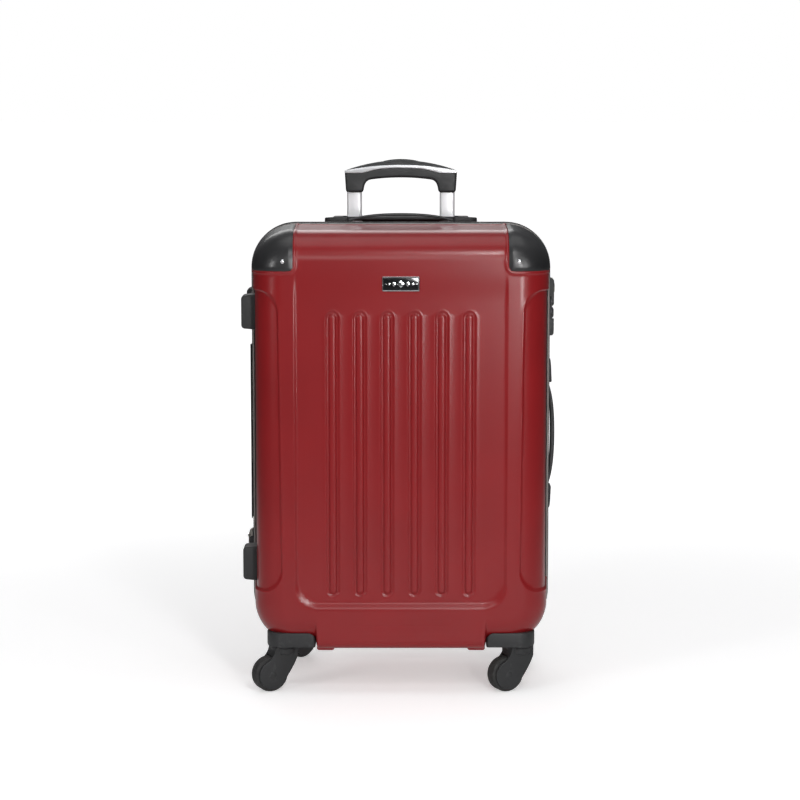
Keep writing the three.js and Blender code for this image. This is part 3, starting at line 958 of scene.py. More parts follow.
BADGE_BLACK = Finish(
    "badge enamel",
    (0.006, 0.006, 0.007),
    (0.008, 0.008, 0.009),
    0.1,
    spread=0.08,
    coat=0.6,
    coat_roughness=0.04,
    texture=Texture.GRAIN,
    size=0.002,
    relief=0.000004,
    dust=0.03,
)


# ---------------------------------------------------------------- the form of the case


@dataclass(frozen=True)
class Mould:
    """The rounded form of one half of the case.

    A point is found from where it would lie if the form were pressed flat: its place on the middle
    rectangle, a direction away from that, and its distance along the surface.
    """

    rim: float
    depth: float
    side: int
    half_width: float = 211.0
    bottom: float = 66.0
    top: float = 657.5
    corner: float = 62.0
    edge: float = 42.0
    draft: float = math.tan(math.radians(3))
    heel_half: float = 118.0
    heel_radius: float = 12.0

    @property
    def middle(self) -> tuple[float, float, float]:
        """The middle rectangle's half width, bottom and top."""
        return self.half_width - self.corner, self.bottom + self.corner, self.top - self.corner

    @property
    def flat(self) -> float:
        """How far the big face runs on past the middle rectangle."""
        return self.corner - self.draft * (self.depth - self.edge) - self.edge

    @property
    def reach(self) -> float:
        """The distance along the surface from the middle rectangle to the rim."""
        wall = self.depth - self.edge - self.rim
        return self.flat + self.edge * math.pi / 2 + wall / math.cos(math.atan(self.draft))

    def at(
        self,
        base: np.ndarray,
        away: np.ndarray,
        run: np.ndarray,
        lift: np.ndarray | float = 0.0,
    ) -> np.ndarray:
        """Place points on the form.

        Args:
            base: x and z on the middle rectangle.
            away: the direction away from it, of length 1, or 0 on it.
            run: the distance along the surface.
            lift: the height above the surface.

        Returns:
            Rows of x, y, z.
        """
        arc = self.edge * math.pi / 2
        turn = np.clip((run - self.flat) / self.edge, 0, math.pi / 2)
        wall = np.maximum(run - self.flat - arc, 0)
        slope = math.atan(self.draft)
        lean = np.where(wall > 0, math.pi / 2 - slope, turn)
        out = np.minimum(run, self.flat) + self.edge * np.sin(turn) + wall * math.sin(slope)
        back = self.depth - self.edge * (1 - np.cos(turn)) - wall * math.cos(slope)
        share = np.where(
            away[:, 1] < -0.5, 1 - ramp(np.abs(base[:, 0]), self.heel_half - 1, self.heel_half + 3), 0
        )
        heel_out, heel_back, heel_lean = self._heel(run)
        out = out + share * (heel_out - out)
        back = back + share * (heel_back - back)
        lean = lean + share * (heel_lean - lean)
        out = out + np.sin(lean) * lift
        back = back + np.cos(lean) * lift
        return np.column_stack(
            [base[:, 0] + away[:, 0] * out, self.side * back, base[:, 1] + away[:, 1] * out]
        )

    def _heel(self, run: np.ndarray) -> tuple[np.ndarray, np.ndarray, np.ndarray]:
        """Follow the squarer profile of the bottom edge between the casters.

        Args:
            run: the distance along the plain form, which is stretched over this profile.

        Returns:
            The distance outwards, the distance back from the zip and the surface's lean.
        """
        straight = self.corner - self.heel_radius
        arc = self.heel_radius * math.pi / 2
        length = straight + arc + self.depth - self.heel_radius - self.rim
        along = run * length / self.reach
        turn = np.clip((along - straight) / self.heel_radius, 0, math.pi / 2)
        out = np.minimum(along, straight) + self.heel_radius * np.sin(turn)
        past = np.maximum(along - straight - arc, 0)
        return out, self.depth - self.heel_radius * (1 - np.cos(turn)) - past, turn


@dataclass(frozen=True)
class Relief:
    """What is pressed into a shell, in its flattened plane."""

    panel: float = 3.4
    panel_top: float = 593.0
    panel_bottom: float = 127.6
    panel_half: float = 146.6
    panel_corner: float = 32.0
    rib_pitch: float = 37.9
    rib_count: int = 6
    rib_half: float = 5.2
    rib_low: float = 150.9
    rib_high: float = 533.4
    rib_depth: float = 3.0
    channel: float = 9.2
    scallop: float = 2.7
    scallop_low: float = 148.6
    scallop_high: float = 570.4
    scallop_corner: float = 30.0
    guard_x: float = 149.0
    guard_z: float = 598.0

    def ribs(self) -> list[float]:
        """The ribs' places across the face."""
        return [(k - (self.rib_count - 1) / 2) * self.rib_pitch for k in range(self.rib_count)]

    @staticmethod
    def box_distance(
        x: np.ndarray, z: np.ndarray, half: tuple[float, float], radius: float
    ) -> np.ndarray:
        """Signed distance from a rounded rectangle about the origin; it is negative inside."""
        dx = np.abs(x) - (half[0] - radius)
        dz = np.abs(z) - (half[1] - radius)
        outside = np.hypot(np.maximum(dx, 0), np.maximum(dz, 0))
        return outside + np.minimum(np.maximum(dx, dz), 0) - radius

    def height(self, x: np.ndarray, z: np.ndarray, run: np.ndarray, reach: float) -> np.ndarray:
        """Height of the pressed surface above the plain form.

        Args:
            x: place across, in the flattened plane.
            z: place up, in the flattened plane.
            run: distance along the surface from the middle rectangle.
            reach: that distance at the rim.

        Returns:
            The height at each point, negative where it is sunk.
        """
        middle, half_height = (1200 + self.panel_bottom) / 2, (1200 - self.panel_bottom) / 2
        panel = self.box_distance(x, z - middle, (self.panel_half, half_height), self.panel_corner)
        soft = 2.0 + 4.8 * ramp(z, 170, 138)
        slope = 0.34 + 0.66 * np.clip((self.panel_top - z) / (self.panel_top - self.panel_bottom), 0, 1)
        sunk = self.panel * slope * ramp(z, 600, 556)
        height = -sunk * (1 - ramp(panel, -soft, soft * 0.8))
        for rib in self.ribs():
            beyond = np.maximum(np.maximum(self.rib_low - z, z - self.rib_high), 0)
            away = np.hypot(x - rib, beyond)
            inside = 1 - ramp(away, self.channel - 1.6, self.channel + 0.4)
            bed = np.minimum(height - 1.0, -self.rib_depth)
            crown = 0.3 * height + 0.2
            lip = 0.28 * np.exp(-(((away - self.channel - 1.2) / 0.9) ** 2))
            height = height * (1 - inside) + bed * inside + lip
            bead = bed + (crown - bed) * np.sqrt(np.clip(1 - (away / self.rib_half) ** 3, 0, 1))
            height = np.where(away < self.rib_half, np.maximum(height, bead), height)
        low, high = self.scallop_low, self.scallop_high
        lean = np.clip((z - low) / (high - low), 0, 1)
        front = 166.5 + 4.5 * lean
        side = self.box_distance(
            np.abs(x) - front - 300, z - (low + high) / 2, (300, (high - low) / 2), self.scallop_corner
        )
        height = height - self.scallop * (1 - ramp(side, -1.2, 0.9))
        height = height + 0.35 * np.exp(-(((side - 1.9) / 1.1) ** 2))
        corner = np.minimum(np.abs(x) - self.guard_x, z - self.guard_z)
        inner = self.box_distance(
            np.abs(x) - self.guard_x - 300, z - self.guard_z - 300, (300, 300), 8.0
        )
        lip = ramp(inner, 0.1, 1.3) * (1 - ramp(inner, 2.6, 5.4))
        height = height + 1.5 * lip
        seat = (1 - ramp(inner, -0.6, 0.4)) * (corner > -20)
        height = height - 0.3 * seat
        hem = ramp(run, reach - 5.2, reach - 3.6)
        height = height + 0.8 * hem
        step = np.exp(-(((z - 102.4) / 1.5) ** 2)) * (1 - ramp(np.abs(x), 60, 74))
        return height - 0.45 * step


FRONT = Mould(rim=20.3, depth=132.0, side=-1)
REAR = Mould(rim=9.0, depth=132.4, side=1)


def laid_over(
    name: str,
    mould: Mould,
    columns: np.ndarray,
    rows: np.ndarray,
    runs: np.ndarray,
    lift: Callable,
) -> Object:
    """Drape a sheet over the whole of a mould, from rim to rim.

    Args:
        name: the piece's name.
        mould: the form.
        columns: places across the middle rectangle.
        rows: places up it.
        runs: distances from it to the rim; the first is 0.
        lift: gives the height from flattened x, flattened z and run.

    Returns:
        The open sheet, its faces outwards.
    """
    wrap = len(runs) - 1
    across, up = len(columns) - 1 + 2 * wrap, len(rows) - 1 + 2 * wrap

    def fold(index: np.ndarray, marks: np.ndarray) -> tuple[np.ndarray, np.ndarray, np.ndarray]:
        last = wrap + len(marks) - 1
        before, after = np.maximum(wrap - index, 0), np.maximum(index - last, 0)
        return marks[np.clip(index - wrap, 0, len(marks) - 1)], before + after, np.sign(after - before)

    def drape(i: np.ndarray, j: np.ndarray) -> np.ndarray:
        x, p, x_way = fold(i, columns)
        z, q, z_way = fold(j, rows)
        steps = np.maximum(p, q)
        run = runs[steps]
        short = np.minimum(p, q) / np.maximum(steps, 1) * math.pi / 4
        angle = np.where(p >= q, short, math.pi / 2 - short)
        away = np.column_stack([x_way * np.cos(angle), z_way * np.sin(angle)])
        away[steps == 0] = 0
        base = np.column_stack([x, z])
        plane = base + away * run[:, None]
        return mould.at(base, away, run, lift(plane[:, 0], plane[:, 1], run))

    piece = sheet_over(name, across, up, drape)
    middle_face = min(piece.data.polygons, key=lambda face: abs(face.center.x) + abs(face.center.z - 360))
    if middle_face.normal.y * mould.side < 0:
        piece.data.flip_normals()
    return piece


@dataclass
class Shell:
    """One pressed half of the case, with its moulded skids."""

    mould: Mould
    body: str
    label: str
    relief: Relief = field(default_factory=Relief)
    wall: float = 2.2

    EDGES = (110, 114, 117, 118.2, 119.4, 120.4, 121.4, 124, 132, 139, 142.4, 144, 145.4, 146.8, 148)

    def columns(self) -> np.ndarray:
        """Places across the face, close together where a rib or the panel's edge is."""
        marks = [0.0]
        pattern = (0.0, 1.6, 3.0, 4.1, 4.8, 5.25, 6.2, 7.6, 8.3, 8.9, 9.5, 10.3, 11.4)
        for rib in self.relief.ribs():
            marks += [rib + way * step for step in pattern for way in (-1, 1)]
        marks += [way * place for place in self.EDGES for way in (-1, 1)]
        half = self.mould.middle[0]
        return np.array(sorted({round(mark, 3) for mark in marks + [-half, half]}))

    def rows(self) -> np.ndarray:
        """Places up the face, close together at the ends of the ribs and scallops."""
        _, low, high = self.mould.middle
        stops = [(low, 1.3), (134, 3.0), (141, 1.2), (153, 3.0), (180, 24.0), (518, 3.0)]
        return spaced([*stops, (527, 1.2), (546, 3.2), (567, 1.1), (574, 4.5), (590, 1.8)], high)

    def runs(self) -> np.ndarray:
        """Distances from the middle rectangle to the rim."""
        reach = self.mould.reach
        stops = [(0.0, 1.5), (4.8, 3.4), (15.0, 1.35), (26.0, 3.2), (41.0, 2.1), (63.0, 8.5)]
        return spaced([*stops, (reach - 6.0, 1.0)], reach)

    def build(self, finishes: Finishes) -> None:
        """Press the shell, give it its wall and set its skids under it."""
        reach = self.mould.reach
        lift = lambda x, z, run: self.relief.height(x, z, run, reach)
        sheet = laid_over(
            f"{self.label}_red_shell", self.mould, self.columns(), self.rows(), self.runs(), lift
        )
        modify(sheet, "SOLIDIFY", thickness=self.wall, offset=-1.0)
        if self.mould.side > 0:
            way = block("tube_way", (-88.6, 96.9, 600), (88.6, 123.1, 700), 0)
            cut(sheet, [way])
        finished(sheet, finishes.of(RED_SHELL), self.body, [f"{self.label}_shell"], angle=50)
        self._skids(finishes)

    def _skids(self, finishes: Finishes) -> None:
        """Make the two rounded skids that carry the bottom edge."""
        near, far = sorted(self.mould.side * (self.mould.depth - step) for step in (12.0, 68.0))
        for label, x in (("left", -106.0), ("right", 106.0)):
            outline = rounded_box(x - 12.4, x + 12.4, 62.6, 67.8, [3.4, 3.4, 0.6, 0.6])
            skid = prism(f"{self.label}_skid_{label}", outline, Axis.Y, near, far, 2.4)
            finished(skid, finishes.of(RED_SHELL), self.body)


# ---------------------------------------------------------------- corner guards and feet


@dataclass
class CornerGuards:
    """The black caps over the upper corners of a half, each held by a rivet."""

    mould: Mould
    body: str
    label: str
    lift: float = 1.7
    wall: float = 2.0
    corner: float = 8.5
    rise: float = 2.5

    def _cap(self, way: int) -> Object:
        """Drape one cap over a corner; way is -1 for the left and 1 for the right."""
        half, _, high = self.mould.middle
        rounds, steps = 30, 44
        end = self.mould.reach - 2.0

        def drape(i: np.ndarray, j: np.ndarray) -> np.ndarray:
            angle = i / rounds * math.pi / 2
            both = np.cos(angle) + np.sin(angle)
            start = self.corner * (both - np.sqrt(np.maximum(both**2 - 1, 0)))
            run = start + (end - start) * j / steps
            away = np.column_stack([way * np.cos(angle), np.sin(angle)])
            base = np.column_stack([np.full(len(i), way * half), np.full(len(i), high)])
            border = np.minimum(run * np.minimum(np.cos(angle), np.sin(angle)), (end - start) * j / steps)
            lift = 0.5 + (self.lift - 0.5) * ramp(border, 0, 6) - 0.7 * ramp(run, end - 12, end)
            plain = self.mould.at(base, away, run, lift)
            plain[:, 2] += self.rise * (1 - i / rounds) ** 2
            return plain

        cap = sheet_over(f"{self.label}_corner_cap_{'left' if way < 0 else 'right'}", rounds, steps, drape)
        if way * self.mould.side > 0:
            cap.data.flip_normals()
        self._face_out(cap)
        modify(cap, "SOLIDIFY", thickness=self.wall, offset=-1.0)
        return soften(cap, 0.7, 3, 50)

    def _face_out(self, cap: Object) -> None:
        """Turn the cap's faces outwards before it gets its wall."""
        middle = Vector((0, 0, 360))
        votes = sum(1 if f.normal.dot(f.center - middle) > 0 else -1 for f in cap.data.polygons)
        if votes < 0:
            cap.data.flip_normals()

    def build(self, finishes: Finishes) -> None:
        """Make both caps and their rivets."""
        rivet = [(0.0, 1.5), (1.2, 1.42), (2.2, 1.05), (2.9, 0.35), (3.1, -0.6), (0.0, -0.6)]
        for way, side in ((-1, "left"), (1, "right")):
            cap = self._cap(way)
            finished(
                cap,
                finishes.of(GLOSS_BLACK),
                self.body,
                [f"{self.label}_guard_{side}"],
                angle=40,
            )
            head = turned(f"{self.label}_rivet_{side}", rivet, 28)
            turn = Matrix.Rotation(self.mould.side * -math.pi / 2, 4, "X")
            move = Matrix.Translation((way * 163.0, self.mould.side * (self.mould.depth + 1.0), 611.6))
            head.data.transform(move @ turn)
            finished(head, finishes.of(CHROME), self.body)


@dataclass
class SideFeet:
    """The blocks on the left wall that the case lies on."""

    mould: Mould
    body: str
    label: str
    out: float = -224.0
    lows: tuple[float, float] = (154.0, 512.0)

    def build(self, finishes: Finishes) -> None:
        """Make the lower and the upper foot, each with a screw in its face."""
        near, far = sorted((self.mould.side * 45.0, self.mould.side * 80.0))
        for name, low in zip(("lower", "upper"), self.lows):
            outline = rounded_corners(
                [(self.out, low + 2), (-202, low), (-202, low + 50), (self.out, low + 48)], [5, 0, 0, 5]
            )
            foot = prism(f"{self.label}_side_foot_{name}", outline, Axis.Y, near, far, 2.6, 4)
            well = turned("well", [(0, -1.2), (4.4, -1.2), (4.4, 4), (0, 4)], 28)
            well.data.transform(Matrix.Rotation(-math.pi / 2, 4, "Y"))
            middle = (near + far) / 2
            well.data.transform(Matrix.Translation((self.out, middle, low + 25)))
            cut(foot, [well])
            finished(foot, finishes.of(MATT_BLACK), self.body, [f"{self.label}_foot_{name}"])
            screw = turned("screw", [(0, 0.9), (2.0, 0.8), (3.4, 0.2), (3.6, -0.6), (0, -0.6)], 24)
            slot = block("slot", (-4, -0.45, 0.3), (4, 0.45, 2), 0)
            cut(screw, [slot])
            screw.name = f"{self.label}_foot_screw_{name}"
            screw.data.transform(Matrix.Rotation(-math.pi / 2, 4, "Y"))
            screw.data.transform(Matrix.Translation((self.out + 1.3, middle, low + 25)))
            finished(screw, finishes.of(NICKEL), self.body)


# ---------------------------------------------------------------- the zips


class CaseRing:
    """The case's outline in the plane of the zips, as a path to carry sections round."""

    def __init__(self, corner_steps: int = 22, side_steps: tuple[int, int] = (14, 22)) -> None:
        """Lay out the path, anticlockwise as it is seen from the front."""
        half, low, high = FRONT.middle
        radius = FRONT.corner
        rows = []
        corners = [(half, low, -90), (half, high, 0), (-half, high, 90), (-half, low, 180)]
        for k, (x, z, start) in enumerate(corners):
            for step in range(corner_steps + 1):
                angle = math.radians(start + 90 * step / corner_steps)
                out = (math.cos(angle), math.sin(angle))
                rows.append((x + radius * out[0], z + radius * out[1], *out))
            count = side_steps[(k + 1) % 2]
            nx, nz, _ = corners[(k + 1) % 4]
            for step in range(1, count):
                share = step / count
                x0, z0 = x + radius * out[0], z + radius * out[1]
                x1, z1 = nx + radius * out[0], nz + radius * out[1]
                rows.append((x0 + (x1 - x0) * share, z0 + (z1 - z0) * share, *out))
        self.path = np.array(rows)

    def along(self, pitch: float, out: float, start: float) -> tuple[np.ndarray, np.ndarray]:
        """Give even places round the path.

        Args:
            pitch: the distance between places.
            out: how far they lie outside the path.
            start: the distance of the first.

        Returns:
            Rows of x and z, and the angle of each outward direction about Y.
        """
        line = self.path[:, :2] + self.path[:, 2:] * out
        closed = np.vstack([line, line[:1]])
        run = np.concatenate([[0], np.cumsum(np.linalg.norm(np.diff(closed, axis=0), axis=1))])
        count = int(run[-1] // pitch)
        marks = (start + np.arange(count) * run[-1] / count) % run[-1]
        x, z = np.interp(marks, run, closed[:, 0]), np.interp(marks, run, closed[:, 1])
        angles = np.unwrap(np.arctan2(self.path[:, 3], self.path[:, 2]))
        angles = np.append(angles, angles[0] + 2 * math.pi)
        return np.column_stack([x, z]), -np.interp(marks, run, angles)


@dataclass
class Zips:
    """The two zips round the case: tapes, piping, teeth, sliders and pulls."""

    main_seam: float = 0.0
    expander_seam: float = -12.35
    pitch: float = 2.6

    def _tape(
        self, name: str, ring: CaseRing, near: float, far: float, body: str, finishes: Finishes
    ) -> None:
        """Make one ring of tape; near and far are its edges along Y."""
        section = [(-1.5, near), (0.2, near), (0.8, near + 0.5), (1.0, near + 1.2)]
        section += [(1.0, far - 1.2), (0.8, far - 0.5), (0.2, far), (-1.5, far)]
        tape = swept(f"{name}_tape", ring.path, section, Axis.Y)
        finished(tape, finishes.of(ZIP_TAPE), body, [name])

    def _piping(self, name: str, ring: CaseRing, middle: float, body: str, finishes: Finishes) -> None:
        """Make the round cord that hides a shell's rim."""
        section = []
        for k in range(12):
            angle = 2 * math.pi * k / 12
            section.append((-0.5 + 1.35 * math.cos(angle), middle + 1.35 * math.sin(angle)))
        cord = swept(name, ring.path, section, Axis.Y)
        finished(cord, finishes.of(PIPING), body, angle=60)

    def _teeth(self, name: str, ring: CaseRing, seam: float, way: int, body: str, finishes: Finishes) -> None:
        """Set one side of a zip's teeth; way is -1 for the front side and 1 for the rear one."""
        tooth = block("tooth", (0.7, -1.5, -0.62), (2.1, 1.5, 0.62), 0.28)
        tooth.data.transform(Matrix.Translation((0, way * 0.55, 0)))
        start = self.pitch / 2 if way > 0 else 0.0
        places, turns = ring.along(self.pitch, 0.0, start)
        rows = np.column_stack([places[:, 0], np.full(len(places), seam), places[:, 1]])
        finished(scattered(name, tooth, rows, turns), finishes.of(ZIP_TEETH), body)

    def build(self, finishes: Finishes) -> None:
        """Make both zips and everything on them."""
        ring = CaseRing()
        self._tape("rear_zip_band", ring, 0.25, 6.2, "rear_case", finishes)
        self._tape("middle_zip_band", ring, -12.1, -0.25, "mid_frame", finishes)
        self._tape("front_zip_band", ring, -17.4, -12.6, "front_case", finishes)
        self._piping("rear_piping", ring, 7.5, "rear_case", finishes)
        self._piping("front_piping", ring, -18.8, "front_case", finishes)
        self._teeth("main_zip_teeth_rear", ring, self.main_seam, 1, "rear_case", finishes)
        self._teeth("main_zip_teeth_front", ring, self.main_seam, -1, "mid_frame", finishes)
        self._teeth("expander_zip_teeth_rear", ring, self.expander_seam, 1, "mid_frame", finishes)
        self._teeth("expander_zip_teeth_front", ring, self.expander_seam, -1, "front_case", finishes)
        self._lock_sliders(finishes)
        self._expander(finishes)
        self._hinge_cloth(finishes)
        self._gusset(finishes)

    @staticmethod
    def _slider(name: str) -> Object:
        """Make a slider about the origin: a waisted body with a bridge, facing +X and running along Z."""
        outline = rounded_corners(
            [(-4.2, 5.5), (-2.9, 0.0), (-3.6, -5.5), (3.6, -5.5), (2.9, 0.0), (4.2, 5.5)],
            [1.5, 3.0, 1.2, 1.2, 3.0, 1.5],
        )
        plate = prism("plate", outline, Axis.X, 0.0, 2.6, 0.6)
        arch = [(-4.4, 2.4), (-3.2, 4.0), (-1.0, 4.75), (1.6, 4.75), (3.4, 4.0), (4.4, 2.4)]
        inner = [(3.0, 2.4), (2.2, 3.2), (-1.6, 3.4), (-3.0, 2.4)]
        bridge = prism("bridge", [(x, z) for z, x in arch + inner], Axis.Y, -1.1, 1.1, 0.35)
        return joined(name, [plate, bridge])

    def _lock_sliders(self, finishes: Finishes) -> None:
        """Make the main zip's two sliders, their pulls lying in the lock."""
        for name, height, flip in (("upper", 548.0, -1), ("lower", 534.0, 1)):
            slider = self._slider(f"main_zip_slider_{name}")
            slider.data.transform(Matrix.Rotation(0 if flip < 0 else math.pi, 4, "X"))
            tab = prism(
                "tab",
                rounded_corners([(1.0, -2.6), (11.3, -3.2), (11.3, 3.2), (1.0, 2.6)], [1.2, 1.6, 1.6, 1.2]),
                Axis.X,
                2.7,
                4.0,
                0.4,
            )
            whole = joined(slider.name, [slider, tab])
            whole.data.transform(Matrix.Translation((213.9, 0, height)))
            body = f"lock_slider_{name}"
            finished(whole, finishes.of(DARK_METAL), body, [body])

    def _expander(self, finishes: Finishes) -> None:
        """Make the second zip's slider and the ring that hangs from it."""
        slider = self._slider("expander_zip_slider")
        slider.data.transform(Matrix.Rotation(math.pi, 4, "Z"))
        slider.data.transform(Matrix.Translation((-213.9, -12.4, 212.4)))
        eye_path = with_outward(round_outline(2.0, 20))
        round_wire = round_outline(0.55, 8)
        eye = swept("eye", eye_path, round_wire, Axis.Y)
        eye.data.transform(Matrix.Translation((-218.9, -12.4, 207.6)))
        whole = joined("expander_zip_slider", [slider, eye])
        finished(whole, finishes.of(NICKEL), "expander_slider", ["expander_slider"])
        outline = rounded_box(-3.6, 3.6, -14.4, 1.0, [3.2, 3.2, 3.0, 3.0], 8)
        pull = swept("expander_ring_pull", with_outward(outline), round_wire, Axis.X)
        knob = block("knob", (-1.0, -3.2, -16.2), (1.0, 3.2, -12.6), 0.7)
        pull = joined("expander_ring_pull", [pull, knob])
        pull.data.transform(Matrix.Translation((-219.4, -12.4, 207.0)))
        finished(pull, finishes.of(NICKEL), "expander_pull", ["expander_pull"])

    def _hinge_cloth(self, finishes: Finishes) -> None:
        """Make the cloth strip that the front half swings on."""
        across = np.linspace(8.4, -11.8, 19)
        up = np.linspace(232, 484, 37)

        def drape(i: np.ndarray, j: np.ndarray) -> np.ndarray:
            ripple = 0.25 * np.sin(up[j] / 9.0) * np.sin(across[i] / 2.2)
            fold = 1.1 * np.exp(-((across[i] / 3.2) ** 2))
            return np.column_stack([-213.2 - 1.6 - fold - ripple, across[i], up[j]])

        cloth = sheet_over("hinge_cloth", 18, 36, drape)
        modify(cloth, "SOLIDIFY", thickness=0.9, offset=0.0)
        clean(cloth)
        finished(cloth, finishes.of(ZIP_TAPE), None, ["cloth_hinge"], angle=60)
        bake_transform(cloth)

    def _gusset(self, finishes: Finishes) -> None:
        """Make the pleated cloth that shows when the case is expanded."""
        folds = [(-2.2, -11.0), (-2.3, -12.6), (-3.6, -13.4), (-2.2, -14.2), (-3.6, -15.0), (-2.2, -15.8)]
        folds += [(-3.6, -16.6), (-2.2, -17.4), (-3.6, -18.2), (-2.3, -19.0), (-2.2, -20.2)]
        back = [(out - 0.7, y) for out, y in reversed(folds)]
        cloth = swept("expander_cloth", CaseRing(16, (10, 14)).path, folds + back, Axis.Y)
        finished(cloth, finishes.of(ZIP_TAPE), None, ["expander_gusset"], angle=60)
        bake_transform(cloth)


# ---------------------------------------------------------------- the lock


@dataclass
class Lock:
    """The combination lock on the right wall."""

    near: float = 12.0
    far: float = 40.0
    face: float = 220.5
    dial_x: float = 215.4
    dial_y: float = 26.0
    dial_first: float = 503.2
    dial_pitch: float = 6.4

    def build(self, finishes: Finishes) -> None:
        """Make the lock's body, its dials and its button."""
        pieces = []
        for name, low, high, out in (
            ("latch", 537.4, 577.0, self.face),
            ("bridge", 520.2, 535.9, self.face - 0.4),
            ("window", 495.0, 518.9, self.face - 0.2),
        ):
            outline = rounded_box(204.5, out, low, high, [0.5, 4.0, 3.4, 0.5])
            pieces.append(prism(name, outline, Axis.Y, self.near + 0.4, self.far, 1.5, 4))
        base = prism(
            "base",
            rounded_box(203.5, 216.8, 497, 575, [1, 2, 2, 1]),
            Axis.Y,
            self.near + 1,
            self.far - 1,
            1.0,
        )
        last = self.dial_first + 2 * self.dial_pitch
        room = block("room", (207.6, 18.9, self.dial_first - 3.3), (240, 33.1, last + 3.3), 0)
        room_two = copied(room, "room_two")
        cut(pieces[2], [room])
        cut(base, [room_two])
        pocket = block("pocket", (213.0, 19.7, 556.2), (240, 32.3, 570.8), 0)
        pocket_two = copied(pocket, "pocket_two")
        cut(pieces[0], [pocket])
        cut(base, [pocket_two])
        for k in range(3):
            slot = block("slot", (215.4, 5.0, 523.0 + 4.4 * k), (218.6, 14.6, 524.4 + 4.4 * k), 0)
            cut(pieces[1], [slot])
        body = joined("lock_body", [*pieces, base])
        finished(body, finishes.of(MATT_BLACK), "rear_case", ["lock_housing"])
        self._dials(finishes)
        outline = rounded_box(20.2, 31.8, 556.8, 570.2, 3.0)
        button = prism("lock_release", outline, Axis.X, 216.5, 221.8, 0.8)
        finished(button, finishes.of(NICKEL), "lock_button", ["lock_button"])

    def _dials(self, finishes: Finishes) -> None:
        """Make three finger wheels, each with ten flats and a notch between them."""
        for k in range(3):
            outline = []
            for flat in range(10):
                for share, radius in ((0.0, 5.45), (0.14, 5.95), (0.5, 6.0), (0.86, 5.95)):
                    angle = 2 * math.pi * (flat + share) / 10
                    outline.append((radius * math.cos(angle), radius * math.sin(angle)))
            dial = prism(f"finger_wheel_{k + 1}", outline, Axis.Z, -2.6, 2.6, 0.35, 2)
            bore = turned("bore", [(0, -9), (2.0, -9), (2.0, 9), (0, 9)], 20)
            cut(dial, [bore])
            place = (self.dial_x, self.dial_y, self.dial_first + k * self.dial_pitch)
            dial.data.transform(Matrix.Translation(place))
            node = f"lock_dial_{k + 1}"
            finished(dial, finishes.of(SOFT_GRIP), node, [node])


# ---------------------------------------------------------------- the carry handles


@dataclass
class CarryHandle:
    """A carry handle, drawn along X with its seat on z = 0."""

    name: str
    strap_body: str
    pad: float
    half: float = 110.0
    width: float = 30.0
    cap: float = 34.0
    top: float = 13.0
    under: float = 8.6

    def build(self, finishes: Finishes, place: Matrix) -> None:
        """Make the seat and the strap and put them in place.

        Args:
            finishes: the materials.
            place: carries the handle from the bench to the case.
        """
        seat = self._seat()
        strap = self._strap()
        for piece in (seat, strap):
            piece.data.transform(place)
        finished(seat, finishes.of(MATT_BLACK), "rear_case", [f"{self.name}_base"])
        finished(
            strap, finishes.of(SOFT_GRIP), self.strap_body, [f"{self.name}_strap"], angle=40
        )

    def _seat(self) -> Object:
        """Make the plate with its two hollow caps."""
        half, wide = self.half, self.width / 2
        plate = prism("plate", rounded_box(-half, half, -wide, wide, 9), Axis.Z, -self.pad, 0.4, 0.3)
        pieces = [plate]
        for way in (-1, 1):
            ends = sorted((way * half, way * (half - self.cap)))
            radii = [12, 3, 3, 12] if way < 0 else [3, 12, 12, 3]
            cap = prism("cap", rounded_box(*ends, -wide, wide, radii), Axis.Z, -0.5, 8.4, 0)
            points = points_of(cap)
            inward = (half - np.abs(points[:, 0])) / self.cap
            points[:, 2] = np.where(points[:, 2] > 5, 6.6 + 1.8 * np.clip(inward, 0, 1), points[:, 2])
            place_points(cap, points)
            soften(cap, 2.0, 4)
            hollow = sorted((way * (half - 5), way * (half - self.cap - 4)))
            room = block("room", (hollow[0], -11.9, 0.4), (hollow[1], 11.9, 6.2), 0)
            pieces.append(cut(cap, [room]))
        return joined(f"{self.name}_seat", pieces)

    def _strap(self) -> Object:
        """Make the arched strap with finger ridges under its middle."""
        end, neck = self.half - 7, self.half - self.cap - 1
        low = [(-end, 0.8), (-neck + 4, 0.8)]
        low += bowed(((-neck + 4, 0.8), (0, self.under)), (-neck + 16, self.under), 12)[1:]
        low += bowed(((0, self.under), (neck - 4, 0.8)), (neck - 16, self.under), 12)[1:]
        high = [(end, 0.8), (end, 3.6), (neck, 3.6)]
        high += bowed(((neck, 3.6), (0, self.top)), (neck - 22, self.top), 12)[1:]
        high += bowed(((0, self.top), (-neck, 3.6)), (-neck + 22, self.top), 12)[1:]
        strap = prism(f"{self.name}_grip_strap", low + high + [(-end, 3.6)], Axis.Y, -11.0, 11.0, 1.25, 3)
        grooves = []
        for k in range(9):
            x = (k - 4) * 8.0
            rise = self.top - 0.0016 * x * x - 0.1
            groove = block("groove", (x - 0.8, -7.0, rise - 0.55), (x + 0.8, 7.0, rise + 3), 0.5)
            grooves.append(groove)
        return cut(strap, grooves)


# ---------------------------------------------------------------- the trolley handle


